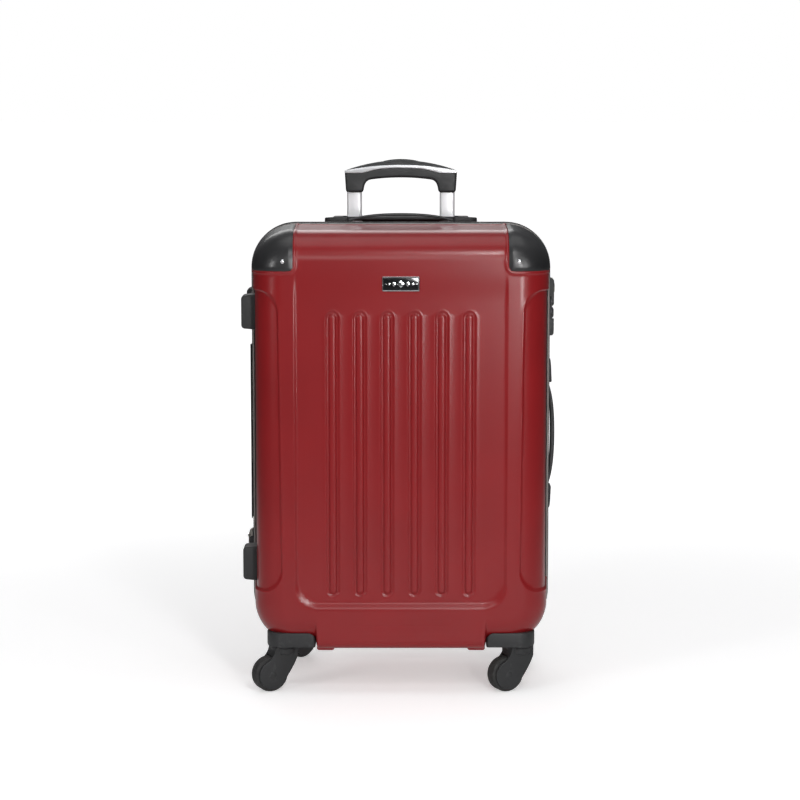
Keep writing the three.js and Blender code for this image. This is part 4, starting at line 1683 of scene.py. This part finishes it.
@dataclass
class Trolley:
    """The telescopic handle at the back of the case."""

    x: float = 68.2
    y: float = 110.0
    leg_low: float = 697.0
    shoulder: float = 82.5
    shoulder_top: float = 729.0
    top: float = 744.0

    def _tube(
        self, name: str, width: float, depth: float, wall: float, low: float, high: float, x: float
    ) -> Object:
        """Make a hollow tube with rounded corners."""
        w, d = width / 2, depth / 2
        outline = rounded_box(-w, w, -d, d, min(4.4, d - 1), 6)
        section = [
            (0, low), (0, high - 0.4), (-0.3, high), (-wall + 0.2, high), (-wall, high - 0.3), (-wall, low)
        ]
        tube = swept(name, with_outward(outline), section, Axis.Z)
        tube.data.transform(Matrix.Translation((x, self.y, 0)))
        return tube

    def _grip_outline(self, inset: float) -> list[Point]:
        """The grip's outline from the front, taken in by inset at the top."""
        low, s = self.leg_low, self.shoulder
        crown = 2 * self.top - self.shoulder_top - 2 * inset
        line = rounded_corners([(-80.5, low), (-55.0, low)], [0, 0])
        line += bowed(((-55.0, low), (-44.0, low + 19)), (-54.5, low + 17.5), 8)
        line += bowed(((-44.0, low + 19), (44.0, low + 19)), (0, low + 25), 24)[1:]
        line += bowed(((44.0, low + 19), (55.0, low)), (54.5, low + 17.5), 8)[1:]
        line += [(80.5, low), (s - 0.6, low + 22), (s, self.shoulder_top - inset)]
        line += bowed(((s, self.shoulder_top - inset), (-s, self.shoulder_top - inset)), (0, crown), 36)[1:]
        line += [(-s + 0.6, low + 22)]
        return line

    def build(self, finishes: Finishes) -> None:
        """Make the tubes, the surround, the grip, its bright top and its button."""
        for side, x in (("left", -self.x), ("right", self.x)):
            for stage, body, size in (
                ("middle", "middle_tubes", (25.2, 15.2, 1.2, 191.0, 661.0)),
                ("inner", "trolley_grip", (22.0, 12.0, 1.1, 240.0, 712.0)),
            ):
                tube = self._tube(f"{stage}_rail_{side}", *size, x)
                finished(tube, finishes.of(ALUMINIUM), body, [f"{stage}_tube_{side}"])
        self._surround(finishes)
        self._grip(finishes)

    def _surround(self, finishes: Finishes) -> None:
        """Make the black surround in the shell's top edge."""
        plan = prism(
            "trolley_surround", rounded_box(-100, 100, 88, 130.6, [12, 12, 9, 9]), Axis.Z, 617.0, 662.0, 0
        )
        slope = prism(
            "slope",
            [(86, 657.2), (104, 655.4), (112, 640.0), (126.5, 626), (140, 617.5), (140, 700), (86, 700)],
            Axis.X,
            -130,
            130,
            0,
        )
        cut(plan, [slope], "INTERSECT")
        soften(plan, 2.2, 4)
        tools = []
        for x in (-self.x, self.x):
            well = prism(
                "well", rounded_box(x - 17, x + 17, self.y - 11, self.y + 11, 6), Axis.Z, 661.0, 680, 0
            )
            way = prism(
                "way", rounded_box(x - 13.1, x + 13.1, self.y - 8.1, self.y + 8.1, 4.8), Axis.Z, 600, 680, 0
            )
            tools += [well, way]
        dish = prism("dish", rounded_box(-44, 44, self.y - 8, self.y + 8, 7), Axis.Z, 660.4, 680, 0)
        cut(plan, [*tools, dish])
        finished(plan, finishes.of(MATT_BLACK), "rear_case", ["trolley_bezel"])

    def _grip(self, finishes: Finishes) -> None:
        """Make the grip's body, its bright crescent and the release button."""
        body = prism("grip_bar", self._grip_outline(0.0), Axis.Y, self.y - 13, self.y + 13, 4.2, 5)
        button_room = block("room", (-26.2, self.y - 8.2, 733.0), (26.2, self.y + 8.2, 760), 0)
        crescent_room = prism("seat", self._crescent(0.25), Axis.Y, self.y - 20, self.y - 9.4, 0)
        tubes = [
            block("tube", (x - 11.3, self.y - 6.3, 690), (x + 11.3, self.y + 6.3, 712.3), 0)
            for x in (-self.x, self.x)
        ]
        cut(body, [button_room, crescent_room, *tubes])
        finished(body, finishes.of(SOFT_GRIP), "trolley_grip", ["grip_body"], angle=28)
        crescent = prism(
            "grip_bright_crescent", self._crescent(0.0), Axis.Y, self.y - 14.0, self.y - 9.6, 1.1, 4
        )
        finished(crescent, finishes.of(SATIN_CHROME), "trolley_grip", ["grip_inlay"])
        shape = [(-25.4, 737.2), (25.4, 737.2)] + bowed(((25.4, 743.0), (-25.4, 743.0)), (0, 748.6), 18)
        button = prism("release_button", shape, Axis.Y, self.y - 7.5, self.y + 7.5, 1.0)
        grooves = [
            block("groove", (x - 0.6, self.y - 5, 745.0 - 0.004 * x * x), (x + 0.6, self.y + 5, 760), 0)
            for x in (-12, -8, -4, 0, 4, 8, 12)
        ]
        cut(button, grooves)
        finished(button, finishes.of(MATT_BLACK), "grip_button", ["grip_button"])

    def _crescent(self, grow: float) -> list[Point]:
        """The crescent's outline from the front, grown a little for its seat."""
        side = [(82.2, 725.5), (57.0, 725.8), (50.0, 727.4), (40.0, 730.2), (30.0, 731.8), (15.0, 732.8)]
        low = [(-x - grow, z - grow) for x, z in side] + [(0.0, 733.0 - grow)]
        low += [(x + grow, z - grow) for x, z in reversed(side)]
        high = bowed(((82.6 + grow, 729.4 + grow), (-82.6 - grow, 729.4 + grow)), (0, 746.2 + grow), 36)
        return low + high


# ---------------------------------------------------------------- the casters


@dataclass
class Caster:
    """A swivelling caster: housing, fork, wheel and axle.

    The fork is drawn with its swivel axis on Z and its wheel trailing along +X.
    """

    place: str
    side: int
    row: int
    heading: float
    x: float = 167.0
    y: float = 92.0
    trail: float = 21.0
    radius: float = 25.0
    width: float = 19.0

    @property
    def case(self) -> str:
        """The body that the housing is fixed to."""
        return "front_case" if self.row < 0 else "rear_case"

    def _swung(self) -> Matrix:
        """The matrix from the bench to the fork's place."""
        turn = Matrix.Rotation(math.radians(self.heading), 4, "Z")
        return Matrix.Translation((self.side * self.x, self.row * self.y, 0)) @ turn

    def build(self, finishes: Finishes) -> None:
        """Make one whole caster."""
        self._housing(finishes)
        self._fork(finishes)
        self._wheel(finishes)

    def _housing(self, finishes: Finishes) -> None:
        """Make the seat moulded round the shell's lower corner."""
        front = 126.5 if self.row < 0 else 126.9
        x0, x1 = sorted((self.side * 120.0, self.side * 189.0))
        near, far = sorted((self.row * front, self.row * 60.0))
        radii = [3, 2, 12, 2] if self.side < 0 else [2, 3, 2, 12]
        face = prism(f"caster_seat_{self.place}", rounded_box(x0, x1, 68, 88, radii, 8), Axis.Y, near, far, 0)
        corner = [4.0, 4.0, 4.0, 4.0]
        index = {(-1, -1): 0, (1, -1): 1, (1, 1): 2, (-1, 1): 3}[(self.side, self.row)]
        corner[index] = 24.0
        plan = prism("plan", rounded_box(x0, x1, near, far, corner, 12), Axis.Z, 40, 110, 0)
        cut(face, [plan], "INTERSECT")
        soften(face, 1.6, 3, 40)
        socket = turned("socket", [(0, 50), (6, 50), (6, 71.4), (0, 71.4)], 24)
        ring = turned("ring", [(18.4, 60), (19.4, 60), (19.4, 68.8), (18.4, 68.8)], 40)
        move = Matrix.Translation((self.side * self.x, self.row * self.y, 0))
        socket.data.transform(move)
        ring.data.transform(move)
        cut(face, [socket, ring])
        label = "front" if self.row < 0 else "rear"
        where = "left" if self.side < 0 else "right"
        node = f"{label}_caster_housing_{where}"
        finished(face, finishes.of(CASTER_BLACK), self.case, [node])

    def _fork(self, finishes: Finishes) -> None:
        """Make the fork: a neck, two cheeks with round covers and a pin."""
        half = self.width / 2 + 0.8 + 3.1
        centre = (self.trail, self.radius)
        arm = [(-17.2, 64.6), (-17.0, 50.0)]
        arm += bowed(((-17.0, 50.0), (1.2, 18.5)), (-11.5, 36.0), 8)[1:]
        start, end = math.pi + 0.33, 2 * math.pi + 0.95
        for angle in np.linspace(start, end, 28):
            arm.append((centre[0] + 20.3 * math.cos(angle), centre[1] + 20.3 * math.sin(angle)))
        arm += bowed((arm[-1], (16.6, 64.6)), (17.5, 49.0), 8)[1:]
        cheeks = prism("cheeks", arm, Axis.Y, -half, half, 2.0, 4)
        slot = turned("slot", [(0, -10.3), (26.4, -10.3), (26.4, 10.3), (0, 10.3)], 56)
        bore = turned("bore", [(0, -40), (3.3, -40), (3.3, 40), (0, 40)], 24)
        turn = Matrix.Translation((self.trail, 0, self.radius)) @ Matrix.Rotation(math.pi / 2, 4, "X")
        tools = [slot, bore]
        for tool in tools:
            tool.data.transform(turn)
        cut(cheeks, tools)
        neck_profile = [
            (0, 52.5), (15.6, 52.5), (17.3, 54.5), (17.6, 57), (17.6, 61.4), (17.0, 61.9),
            (17.0, 62.3), (17.6, 62.8), (17.6, 66.6), (16.8, 67.5), (5, 67.5),
        ]
        neck_profile += [(5, 70.3), (0, 70.3)]
        neck = turned("neck", neck_profile, 48)
        fork = joined(f"caster_fork_{self.place}", [cheeks, neck])
        fork.data.transform(self._swung())
        node = f"fork_{self.place}"
        finished(fork, finishes.of(CASTER_BLACK), node, [node])
        cap = [
            (0, -half - 0.1), (4.8, -half - 0.1), (5.6, -half + 0.3), (5.6, -half + 0.9), (3.0, -half + 1.0)
        ]
        cap += [(3.0, half - 1.0), (5.6, half - 0.9), (5.6, half - 0.3), (4.8, half + 0.1), (0, half + 0.1)]
        axle = turned(f"caster_axle_{self.place}", cap, 32)
        axle.data.transform(self._swung() @ turn)
        finished(axle, finishes.of(CASTER_BLACK), node, [f"axle_{self.place}"])

    def _wheel(self, finishes: Finishes) -> None:
        """Make the tyre with its tread grooves and the spoked hub inside it."""
        h, r = self.width / 2, self.radius
        tread = [(17.6, -h + 0.6), (18.4, -h), (22.4, -h), (24.0, -h + 0.9), (r, -h + 3.0), (r, -3.2)]
        tread += [
            (24.2, -2.8), (24.2, -2.0), (r, -1.6), (r, 1.6), (24.2, 2.0), (24.2, 2.8), (r, 3.2), (r, h - 3.0)
        ]
        tread += [(24.0, h - 0.9), (22.4, h), (18.4, h), (17.6, h - 0.6)]
        tyre = turned(f"tyre_{self.place}", tread, 64)
        hub_profile = [(3.3, -h + 0.8), (7.0, -h + 0.8), (7.6, -h + 2.4), (14.6, -h + 2.4), (15.4, -h + 0.9)]
        hub_profile += [(17.55, -h + 0.9), (17.55, h - 0.9), (15.4, h - 0.9), (14.6, h - 2.4), (7.6, h - 2.4)]
        hub_profile += [(7.0, h - 0.8), (3.3, h - 0.8)]
        hub = turned(f"hub_{self.place}", hub_profile, 48)
        holes = []
        for k in range(5):
            angle = 2 * math.pi * k / 5
            hole = turned("hole", [(0, -20), (2.5, -20), (2.5, 20), (0, 20)], 16)
            hole.data.transform(Matrix.Translation((11.0 * math.cos(angle), 11.0 * math.sin(angle), 0)))
            holes.append(hole)
        cut(hub, holes)
        turn = Matrix.Translation((self.trail, 0, self.radius)) @ Matrix.Rotation(math.pi / 2, 4, "X")
        for piece in (tyre, hub):
            piece.data.transform(self._swung() @ turn)
        node = f"wheel_{self.place}"
        finished(tyre, finishes.of(TYRE), node, [node])
        finished(hub, finishes.of(HUB_GREY), node)


# ---------------------------------------------------------------- the badge


@dataclass
class Badge:
    """The plate on the front face, with a plain ornament in place of a name."""

    x: float = 26.0
    low: float = 570.2
    high: float = 591.0
    face: float = -132.0

    def build(self, finishes: Finishes) -> None:
        """Make the bright frame, the enamelled plate and its ornament."""
        path = with_outward(rounded_box(-self.x, self.x, self.low, self.high, 1.8, 6))
        section = [
            (0, self.face + 0.1), (0, self.face - 1.3), (-0.5, self.face - 1.9), (-1.2, self.face - 1.9)
        ]
        section += [(-1.7, self.face - 1.4), (-1.9, self.face - 0.9), (-1.9, self.face + 0.1)]
        border = swept("badge_bright_frame", path, section, Axis.Y)
        finished(border, finishes.of(CHROME), "front_case", ["badge_frame"])
        outline = rounded_box(-24.3, 24.3, self.low + 1.7, self.high - 1.7, 0.8)
        plate = prism("badge_enamel", outline, Axis.Y, self.face - 1.1, self.face + 0.1, 0.25)
        finished(plate, finishes.of(BADGE_BLACK), "front_case", ["badge_plate"])
        middle = (self.low + self.high) / 2
        ornaments = []
        for x, size in ((0.0, 5.2), (-9.6, 3.4), (9.6, 3.4), (-16.2, 2.1), (16.2, 2.1)):
            diamond = [(x - size, middle), (x, middle - size), (x + size, middle), (x, middle + size)]
            ornaments.append(prism("diamond", diamond, Axis.Y, self.face - 1.5, self.face - 0.9, 0.2, 2))
        for way in (-1, 1):
            ends = sorted((way * 19.4, way * 22.4))
            ornaments.append(
                block(
                    "dash",
                    (ends[0], self.face - 1.4, middle - 0.4),
                    (ends[1], self.face - 0.9, middle + 0.4),
                    0.15,
                )
            )
        finished(joined("badge_ornament", ornaments), finishes.of(CHROME), "front_case")


# ---------------------------------------------------------------- the inside


@dataclass
class Interior:
    """Linings, divider, packing straps and the cloth over the trolley's tubes."""

    gap: float = -6.4
    wall: float = 0.7

    def _lining(self, label: str, mould: Mould, body: str, finishes: Finishes) -> None:
        """Hang one lining inside a half."""
        half, low, high = mould.middle
        columns, rows = np.linspace(-half, half, 45), np.linspace(low, high, 61)
        inner = Mould(rim=mould.rim + 0.9, depth=mould.depth, side=mould.side)
        runs = spaced([(0, 5.0)], inner.reach)

        def lift(x: np.ndarray, z: np.ndarray, run: np.ndarray) -> np.ndarray:
            pucker = np.sin(x / 17.0 + 2.0 * np.sin(z / 61.0)) * np.sin(z / 23.0 + 1.3 * np.sin(x / 47.0))
            seam = np.exp(-(((run - 84.0) / 2.2) ** 2)) * 0.6
            ease = 1 - ramp(run, inner.reach - 14, inner.reach - 4)
            return self.gap - 0.45 * ease * (pucker + 1) - seam * ease

        bag = laid_over(f"{label}_cloth_lining", inner, columns, rows, runs, lift)
        if mould.side > 0:
            points = points_of(bag)
            cover = 93.4 + 40 * ramp(np.abs(points[:, 0]), 92.5, 112)
            points[:, 1] = np.minimum(points[:, 1], cover)
            place_points(bag, points)
        self._over_housings(bag, label)
        modify(bag, "SOLIDIFY", thickness=self.wall, offset=-1.0)
        finished(bag, finishes.of(LINING), body, [f"{label}_lining"], angle=60)

    @staticmethod
    def _over_housings(bag: Object, label: str, clear: float = 3.0) -> None:
        """Lift the lining over the caster housings that stand inside the case."""
        points = points_of(bag)
        for side in ("left", "right"):
            low, high = (np.array(corner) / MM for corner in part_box(f"{label}_caster_housing_{side}"))
            past = np.maximum(low - points, points - high)[:, :2].max(axis=1)
            over = 1 - ramp(past, clear, clear + 9)
            floor = points[:, 2] < high[2] + clear
            inside = np.abs(points[:, 0]) < np.abs(np.array([low[0], high[0]])).max() + clear
            raised = np.maximum(points[:, 2], points[:, 2] + over * (high[2] + clear - points[:, 2]))
            points[:, 2] = np.where(floor & inside, raised, points[:, 2])
        place_points(bag, points)

    def _divider(self, finishes: Finishes) -> None:
        """Make the divider with its pocket, hem and zip."""
        outline = rounded_box(-201.2, 201.2, 75.8, 647.7, 52.2, 14)
        path = with_outward(outline)
        half_x, half_z, mid_z = 200.6, 285.3, 361.75

        def drape(i: np.ndarray, j: np.ndarray) -> np.ndarray:
            u, v = i / 40 * 2 - 1, j / 56 * 2 - 1
            x, z = u * half_x, v * half_z
            corner = 52.0
            dx, dz = (
                np.maximum(np.abs(x) - (half_x - corner), 0), np.maximum(np.abs(z) - (half_z - corner), 0)
            )
            far = np.maximum(np.maximum(dx, dz), 1e-9)
            pull = np.where((dx > 0) & (dz > 0), far / np.maximum(np.hypot(dx, dz), 1e-9), 1.0)
            x = np.sign(x) * (np.abs(x) - dx + dx * pull)
            z = np.sign(z) * (np.abs(z) - dz + dz * pull)
            slack = 0.5 * np.sin(x / 31.0) * np.sin(z / 43.0) * (1 - np.maximum(np.abs(u), np.abs(v)) ** 6)
            return np.column_stack([x, -25.8 + slack, z + mid_z])

        panel = sheet_over("divider_cloth", 40, 56, drape)
        modify(panel, "SOLIDIFY", thickness=0.8, offset=0.0)
        clean(panel)
        finished(panel, finishes.of(LINING), "front_case", ["divider_panel"], angle=60)
        hem_section = [
            (0.2, -27.3), (-3.2, -27.3), (-3.6, -26.5), (-3.6, -24.9),
            (-3.2, -24.2), (0.2, -24.2), (0.6, -25.8),
        ]
        hem = swept("divider_hem", path, hem_section, Axis.Y)
        finished(hem, finishes.of(ZIP_TAPE), "front_case")
        pocket_outline = rounded_box(-172, 172, 104, 420, [30, 30, 6, 6], 8)
        pocket = prism("divider_pocket", pocket_outline, Axis.Y, -25.2, -24.4, 0.3)
        finished(pocket, finishes.of(POCKET), "front_case")
        trim = swept(
            "pocket_trim",
            with_outward(pocket_outline),
            [(1.2, -24.9), (-5, -24.9), (-5, -23.7), (1.2, -23.7)],
            Axis.Y,
        )
        finished(trim, finishes.of(ZIP_TAPE), "front_case")
        tooth = block("tooth", (-0.62, -0.5, -1.3), (0.62, 0.5, 1.3), 0.2)
        marks = np.arange(-160, 160, 2.6)
        places = np.column_stack(
            [marks, np.full(len(marks), -23.4), 417.5 + 0.5 * (np.arange(len(marks)) % 2 * 2 - 1)]
        )
        teeth = scattered("pocket_zip_teeth", tooth, places, np.zeros(len(marks)))
        finished(teeth, finishes.of(ZIP_TEETH), "front_case")

    def _strap(self, name: str, z: float, finishes: Finishes) -> None:
        """Make one packing strap across the rear half, with its buckle."""
        def drape(i: np.ndarray, j: np.ndarray) -> np.ndarray:
            share = i / 48 * 2 - 1
            x = share * 199.0
            y = 40.0 + 34.0 * (1 - share**2) + 0.7 * np.sin(x / 19.0)
            return np.column_stack([x, y, z + (j / 8 - 0.5) * 25.0 + 0.6 * np.sin(x / 41.0)])

        web = sheet_over(f"packing_strap_{name}", 48, 8, drape)
        modify(web, "SOLIDIFY", thickness=1.1, offset=0.0)
        clean(web)
        finished(web, finishes.of(ZIP_TAPE), "rear_case", angle=60)
        outline = rounded_box(-31, 31, z - 16, z + 16, 7)
        buckle = prism(f"strap_buckle_{name}", outline, Axis.Y, 69.0, 77.4, 2.2, 4)
        slots = [block("slot", (x - 3, 60, z - 11), (x + 3, 72.0, z + 11), 0) for x in (-18, 18)]
        cut(buckle, slots)
        finished(buckle, finishes.of(MATT_BLACK), "rear_case")

    def build(self, finishes: Finishes) -> None:
        """Make everything inside the case."""
        self._lining("front", FRONT, "front_case", finishes)
        self._lining("rear", REAR, "rear_case", finishes)
        self._divider(finishes)
        self._strap("upper", 450.0, finishes)
        self._strap("lower", 270.0, finishes)


# ---------------------------------------------------------------- the studio


@dataclass(frozen=True)
class Lamp:
    """One soft rectangular light."""

    name: str
    place: tuple[float, float, float]
    size: Point
    power: float
    aim: tuple[float, float, float] = (0, 0, 0.4)


LAMPS = (
    Lamp("key", (0.5, -1.9, 0.62), (0.24, 0.5), 10.5, (0.15, 0, 0.6)),
    Lamp("upper right", (0.3, -1.6, 1.5), (0.2, 0.2), 6.5, (0.12, 0, 0.62)),
    Lamp("left strip", (-1.6, -1.75, 0.92), (0.2, 0.6), 10.0, (0, 0, 0.75)),
    Lamp("right strip", (1.1, -1.9, 0.9), (0.2, 0.6), 5.5, (0.05, 0, 0.75)),
    Lamp("front fill", (-0.2, -5.5, 1.9), (2.4, 0.8), 22.0),
    Lamp("overhead", (0.1, -0.35, 2.3), (2.0, 1.3), 9.5),
    Lamp("back fill", (-0.5, 2.6, 2.2), (1.8, 1.5), 20.0),
)


@dataclass
class Studio:
    """The pale floor, the soft lights and the camera."""

    eye: tuple[float, float, float] = (0.0, -3.4, 0.8342)
    pitch: float = 7.23
    lens: float = 107.0
    shift: float = -0.0011
    dome_height: Point = (0.1, 0.8)
    dome_strength: Point = (0.05, 0.26)

    def build(self) -> None:
        """Set up the camera, the lights, the world and the floor."""
        self._camera()
        self._floor()
        for lamp in LAMPS:
            self._light(lamp)
        self._world()
        bpy.context.scene.view_settings.view_transform = "Standard"

    def _camera(self) -> None:
        """Place the camera in front of the case, a little above its middle."""
        data = bpy.data.cameras.new("camera")
        data.lens = self.lens
        data.sensor_width = 36.0
        data.shift_x = self.shift
        camera = bpy.data.objects.new("camera", data)
        camera.location = self.eye
        camera.rotation_euler = (math.radians(90 - self.pitch), 0, 0)
        bpy.context.scene.collection.objects.link(camera)
        bpy.context.scene.camera = camera

    @staticmethod
    def _light(lamp: Lamp) -> None:
        """Hang one soft light and aim it at a point."""
        data = bpy.data.lights.new(lamp.name, "AREA")
        data.shape = "RECTANGLE"
        data.size, data.size_y = lamp.size
        data.energy = lamp.power
        light = bpy.data.objects.new(lamp.name, data)
        light.location = lamp.place
        way = Vector(lamp.aim) - Vector(lamp.place)
        light.rotation_euler = way.to_track_quat("-Z", "Y").to_euler()
        light.visible_camera = False
        bpy.context.scene.collection.objects.link(light)

    def _world(self) -> None:
        """Light the case from a dome that brightens upward, and show the camera plain white."""
        world = bpy.data.worlds.new("studio")
        bpy.context.scene.world = world
        world.use_nodes = True
        tree = world.node_tree
        tree.nodes.clear()
        lit = tree.nodes.new("ShaderNodeBackground")
        lit.inputs["Color"].default_value = (0.95, 0.96, 1.0, 1.0)
        where = tree.nodes.new("ShaderNodeTexCoord")
        parts = tree.nodes.new("ShaderNodeSeparateXYZ")
        tree.links.new(where.outputs["Generated"], parts.inputs[0])
        dome = tree.nodes.new("ShaderNodeMapRange")
        dome.inputs["From Min"].default_value, dome.inputs["From Max"].default_value = self.dome_height
        dome.inputs["To Min"].default_value, dome.inputs["To Max"].default_value = self.dome_strength
        tree.links.new(parts.outputs["Z"], dome.inputs["Value"])
        tree.links.new(dome.outputs["Result"], lit.inputs["Strength"])
        seen = tree.nodes.new("ShaderNodeBackground")
        seen.inputs["Color"].default_value = (1.0, 1.0, 1.0, 1.0)
        seen.inputs["Strength"].default_value = 1.0
        path = tree.nodes.new("ShaderNodeLightPath")
        mix = tree.nodes.new("ShaderNodeMixShader")
        output = tree.nodes.new("ShaderNodeOutputWorld")
        tree.links.new(path.outputs["Is Camera Ray"], mix.inputs[0])
        tree.links.new(lit.outputs[0], mix.inputs[1])
        tree.links.new(seen.outputs[0], mix.inputs[2])
        tree.links.new(mix.outputs[0], output.inputs[0])

    @staticmethod
    def _fall(tree: bpy.types.NodeTree, far: object, reach: Point, levels: Point) -> object:
        """Blend smoothly from one level to another as the distance grows."""
        node = tree.nodes.new("ShaderNodeMapRange")
        node.interpolation_type = "SMOOTHSTEP"
        node.inputs["From Min"].default_value, node.inputs["From Max"].default_value = reach
        node.inputs["To Min"].default_value, node.inputs["To Max"].default_value = levels
        tree.links.new(far, node.inputs["Value"])
        return node.outputs["Result"]

    def _floor(self) -> None:
        """Lay a wide pale floor that glows, though it is no lamp: its glow is painted light."""
        lay_down_tools()
        bpy.ops.mesh.primitive_plane_add(size=160)
        floor = take("studio_floor")
        material = bpy.data.materials.new("pale floor")
        material.use_nodes = True
        tree = material.node_tree
        shader = tree.nodes["Principled BSDF"]
        shader.inputs["Roughness"].default_value = 0.7
        shader.inputs["Specular IOR Level"].default_value = 0.2
        shader.inputs["Emission Color"].default_value = (1.0, 0.995, 0.99, 1.0)
        path = tree.nodes.new("ShaderNodeLightPath")
        where = tree.nodes.new("ShaderNodeTexCoord")
        far = tree.nodes.new("ShaderNodeVectorMath")
        far.operation = "LENGTH"
        tree.links.new(where.outputs["Object"], far.inputs[0])
        # Painted light: to the camera the floor glows 0.42 near the case and 0.9 from 2.6 m out, so the
        # lamps' shadows show only near the case; to other rays it glows 0.3 near the case, painted bounce
        # light on the case's lower part, fading to 0.02 by 2.2 m, and for them its colour falls from 0.5 to
        # 0.12.
        glow = self._fall(tree, far.outputs["Value"], (0.5, 2.6), (0.42, 0.9))
        bounce = self._fall(tree, far.outputs["Value"], (0.6, 2.2), (0.3, 0.02))
        dull = self._fall(tree, far.outputs["Value"], (0.6, 2.2), (0.5, 0.12))
        for low, high, socket in ((bounce, glow, "Emission Strength"), (dull, None, "Base Color")):
            seen = tree.nodes.new("ShaderNodeMix")
            seen.inputs[3].default_value = 0.9
            tree.links.new(path.outputs["Is Camera Ray"], seen.inputs[0])
            tree.links.new(low, seen.inputs[2])
            if high:
                tree.links.new(high, seen.inputs[3])
            tree.links.new(seen.outputs[0], shader.inputs[socket])
        floor.data.materials.append(material)


# ---------------------------------------------------------------- putting it together


def dress_hidden_parts(finishes: Finishes) -> None:
    """Give the plain solids that stay inside the case their own finish."""
    for node, finish in (
        ("outer_tube_left", ALUMINIUM),
        ("outer_tube_right", ALUMINIUM),
        ("trolley_bracket", MATT_BLACK),
    ):
        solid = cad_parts[node]
        solid.data.materials.clear()
        solid.data.materials.append(finishes.of(finish))
        log.info("dressed %s", node)


def main() -> None:
    """Build the suitcase, one sub-assembly after another."""
    logging.basicConfig(level=logging.INFO, format="%(name)s: %(message)s")
    Studio().build()
    finishes = Finishes()
    for mould, body, label in ((FRONT, "front_case", "front"), (REAR, "rear_case", "rear")):
        Shell(mould, body, label).build(finishes)
        CornerGuards(mould, body, label).build(finishes)
        SideFeet(mould, body, label).build(finishes)
    Zips().build(finishes)
    Lock().build(finishes)
    sunk = 657.5 - math.tan(math.radians(3)) * 44 + 1.6
    top_place = Matrix.Translation((0, 44, sunk)) @ Matrix.Rotation(-math.radians(3), 4, "X")
    side_place = Matrix.Translation((211, 44, 349)) @ Matrix.Rotation(math.pi / 2, 4, "Y")
    CarryHandle("top_handle", "top_handle", 1.1).build(finishes, top_place)
    CarryHandle("side_handle", "side_handle", 3.8, under=7.0).build(finishes, side_place)
    Trolley().build(finishes)
    Badge().build(finishes)
    for place, side, row, heading in (
        ("front_left", -1, -1, 205),
        ("front_right", 1, -1, 205),
        ("rear_left", -1, 1, 45),
        ("rear_right", 1, 1, 265),
    ):
        Caster(place, side, row, heading).build(finishes)
    Interior().build(finishes)
    dress_hidden_parts(finishes)
    lay_down_tools()


if __name__ == "__main__":
    main()
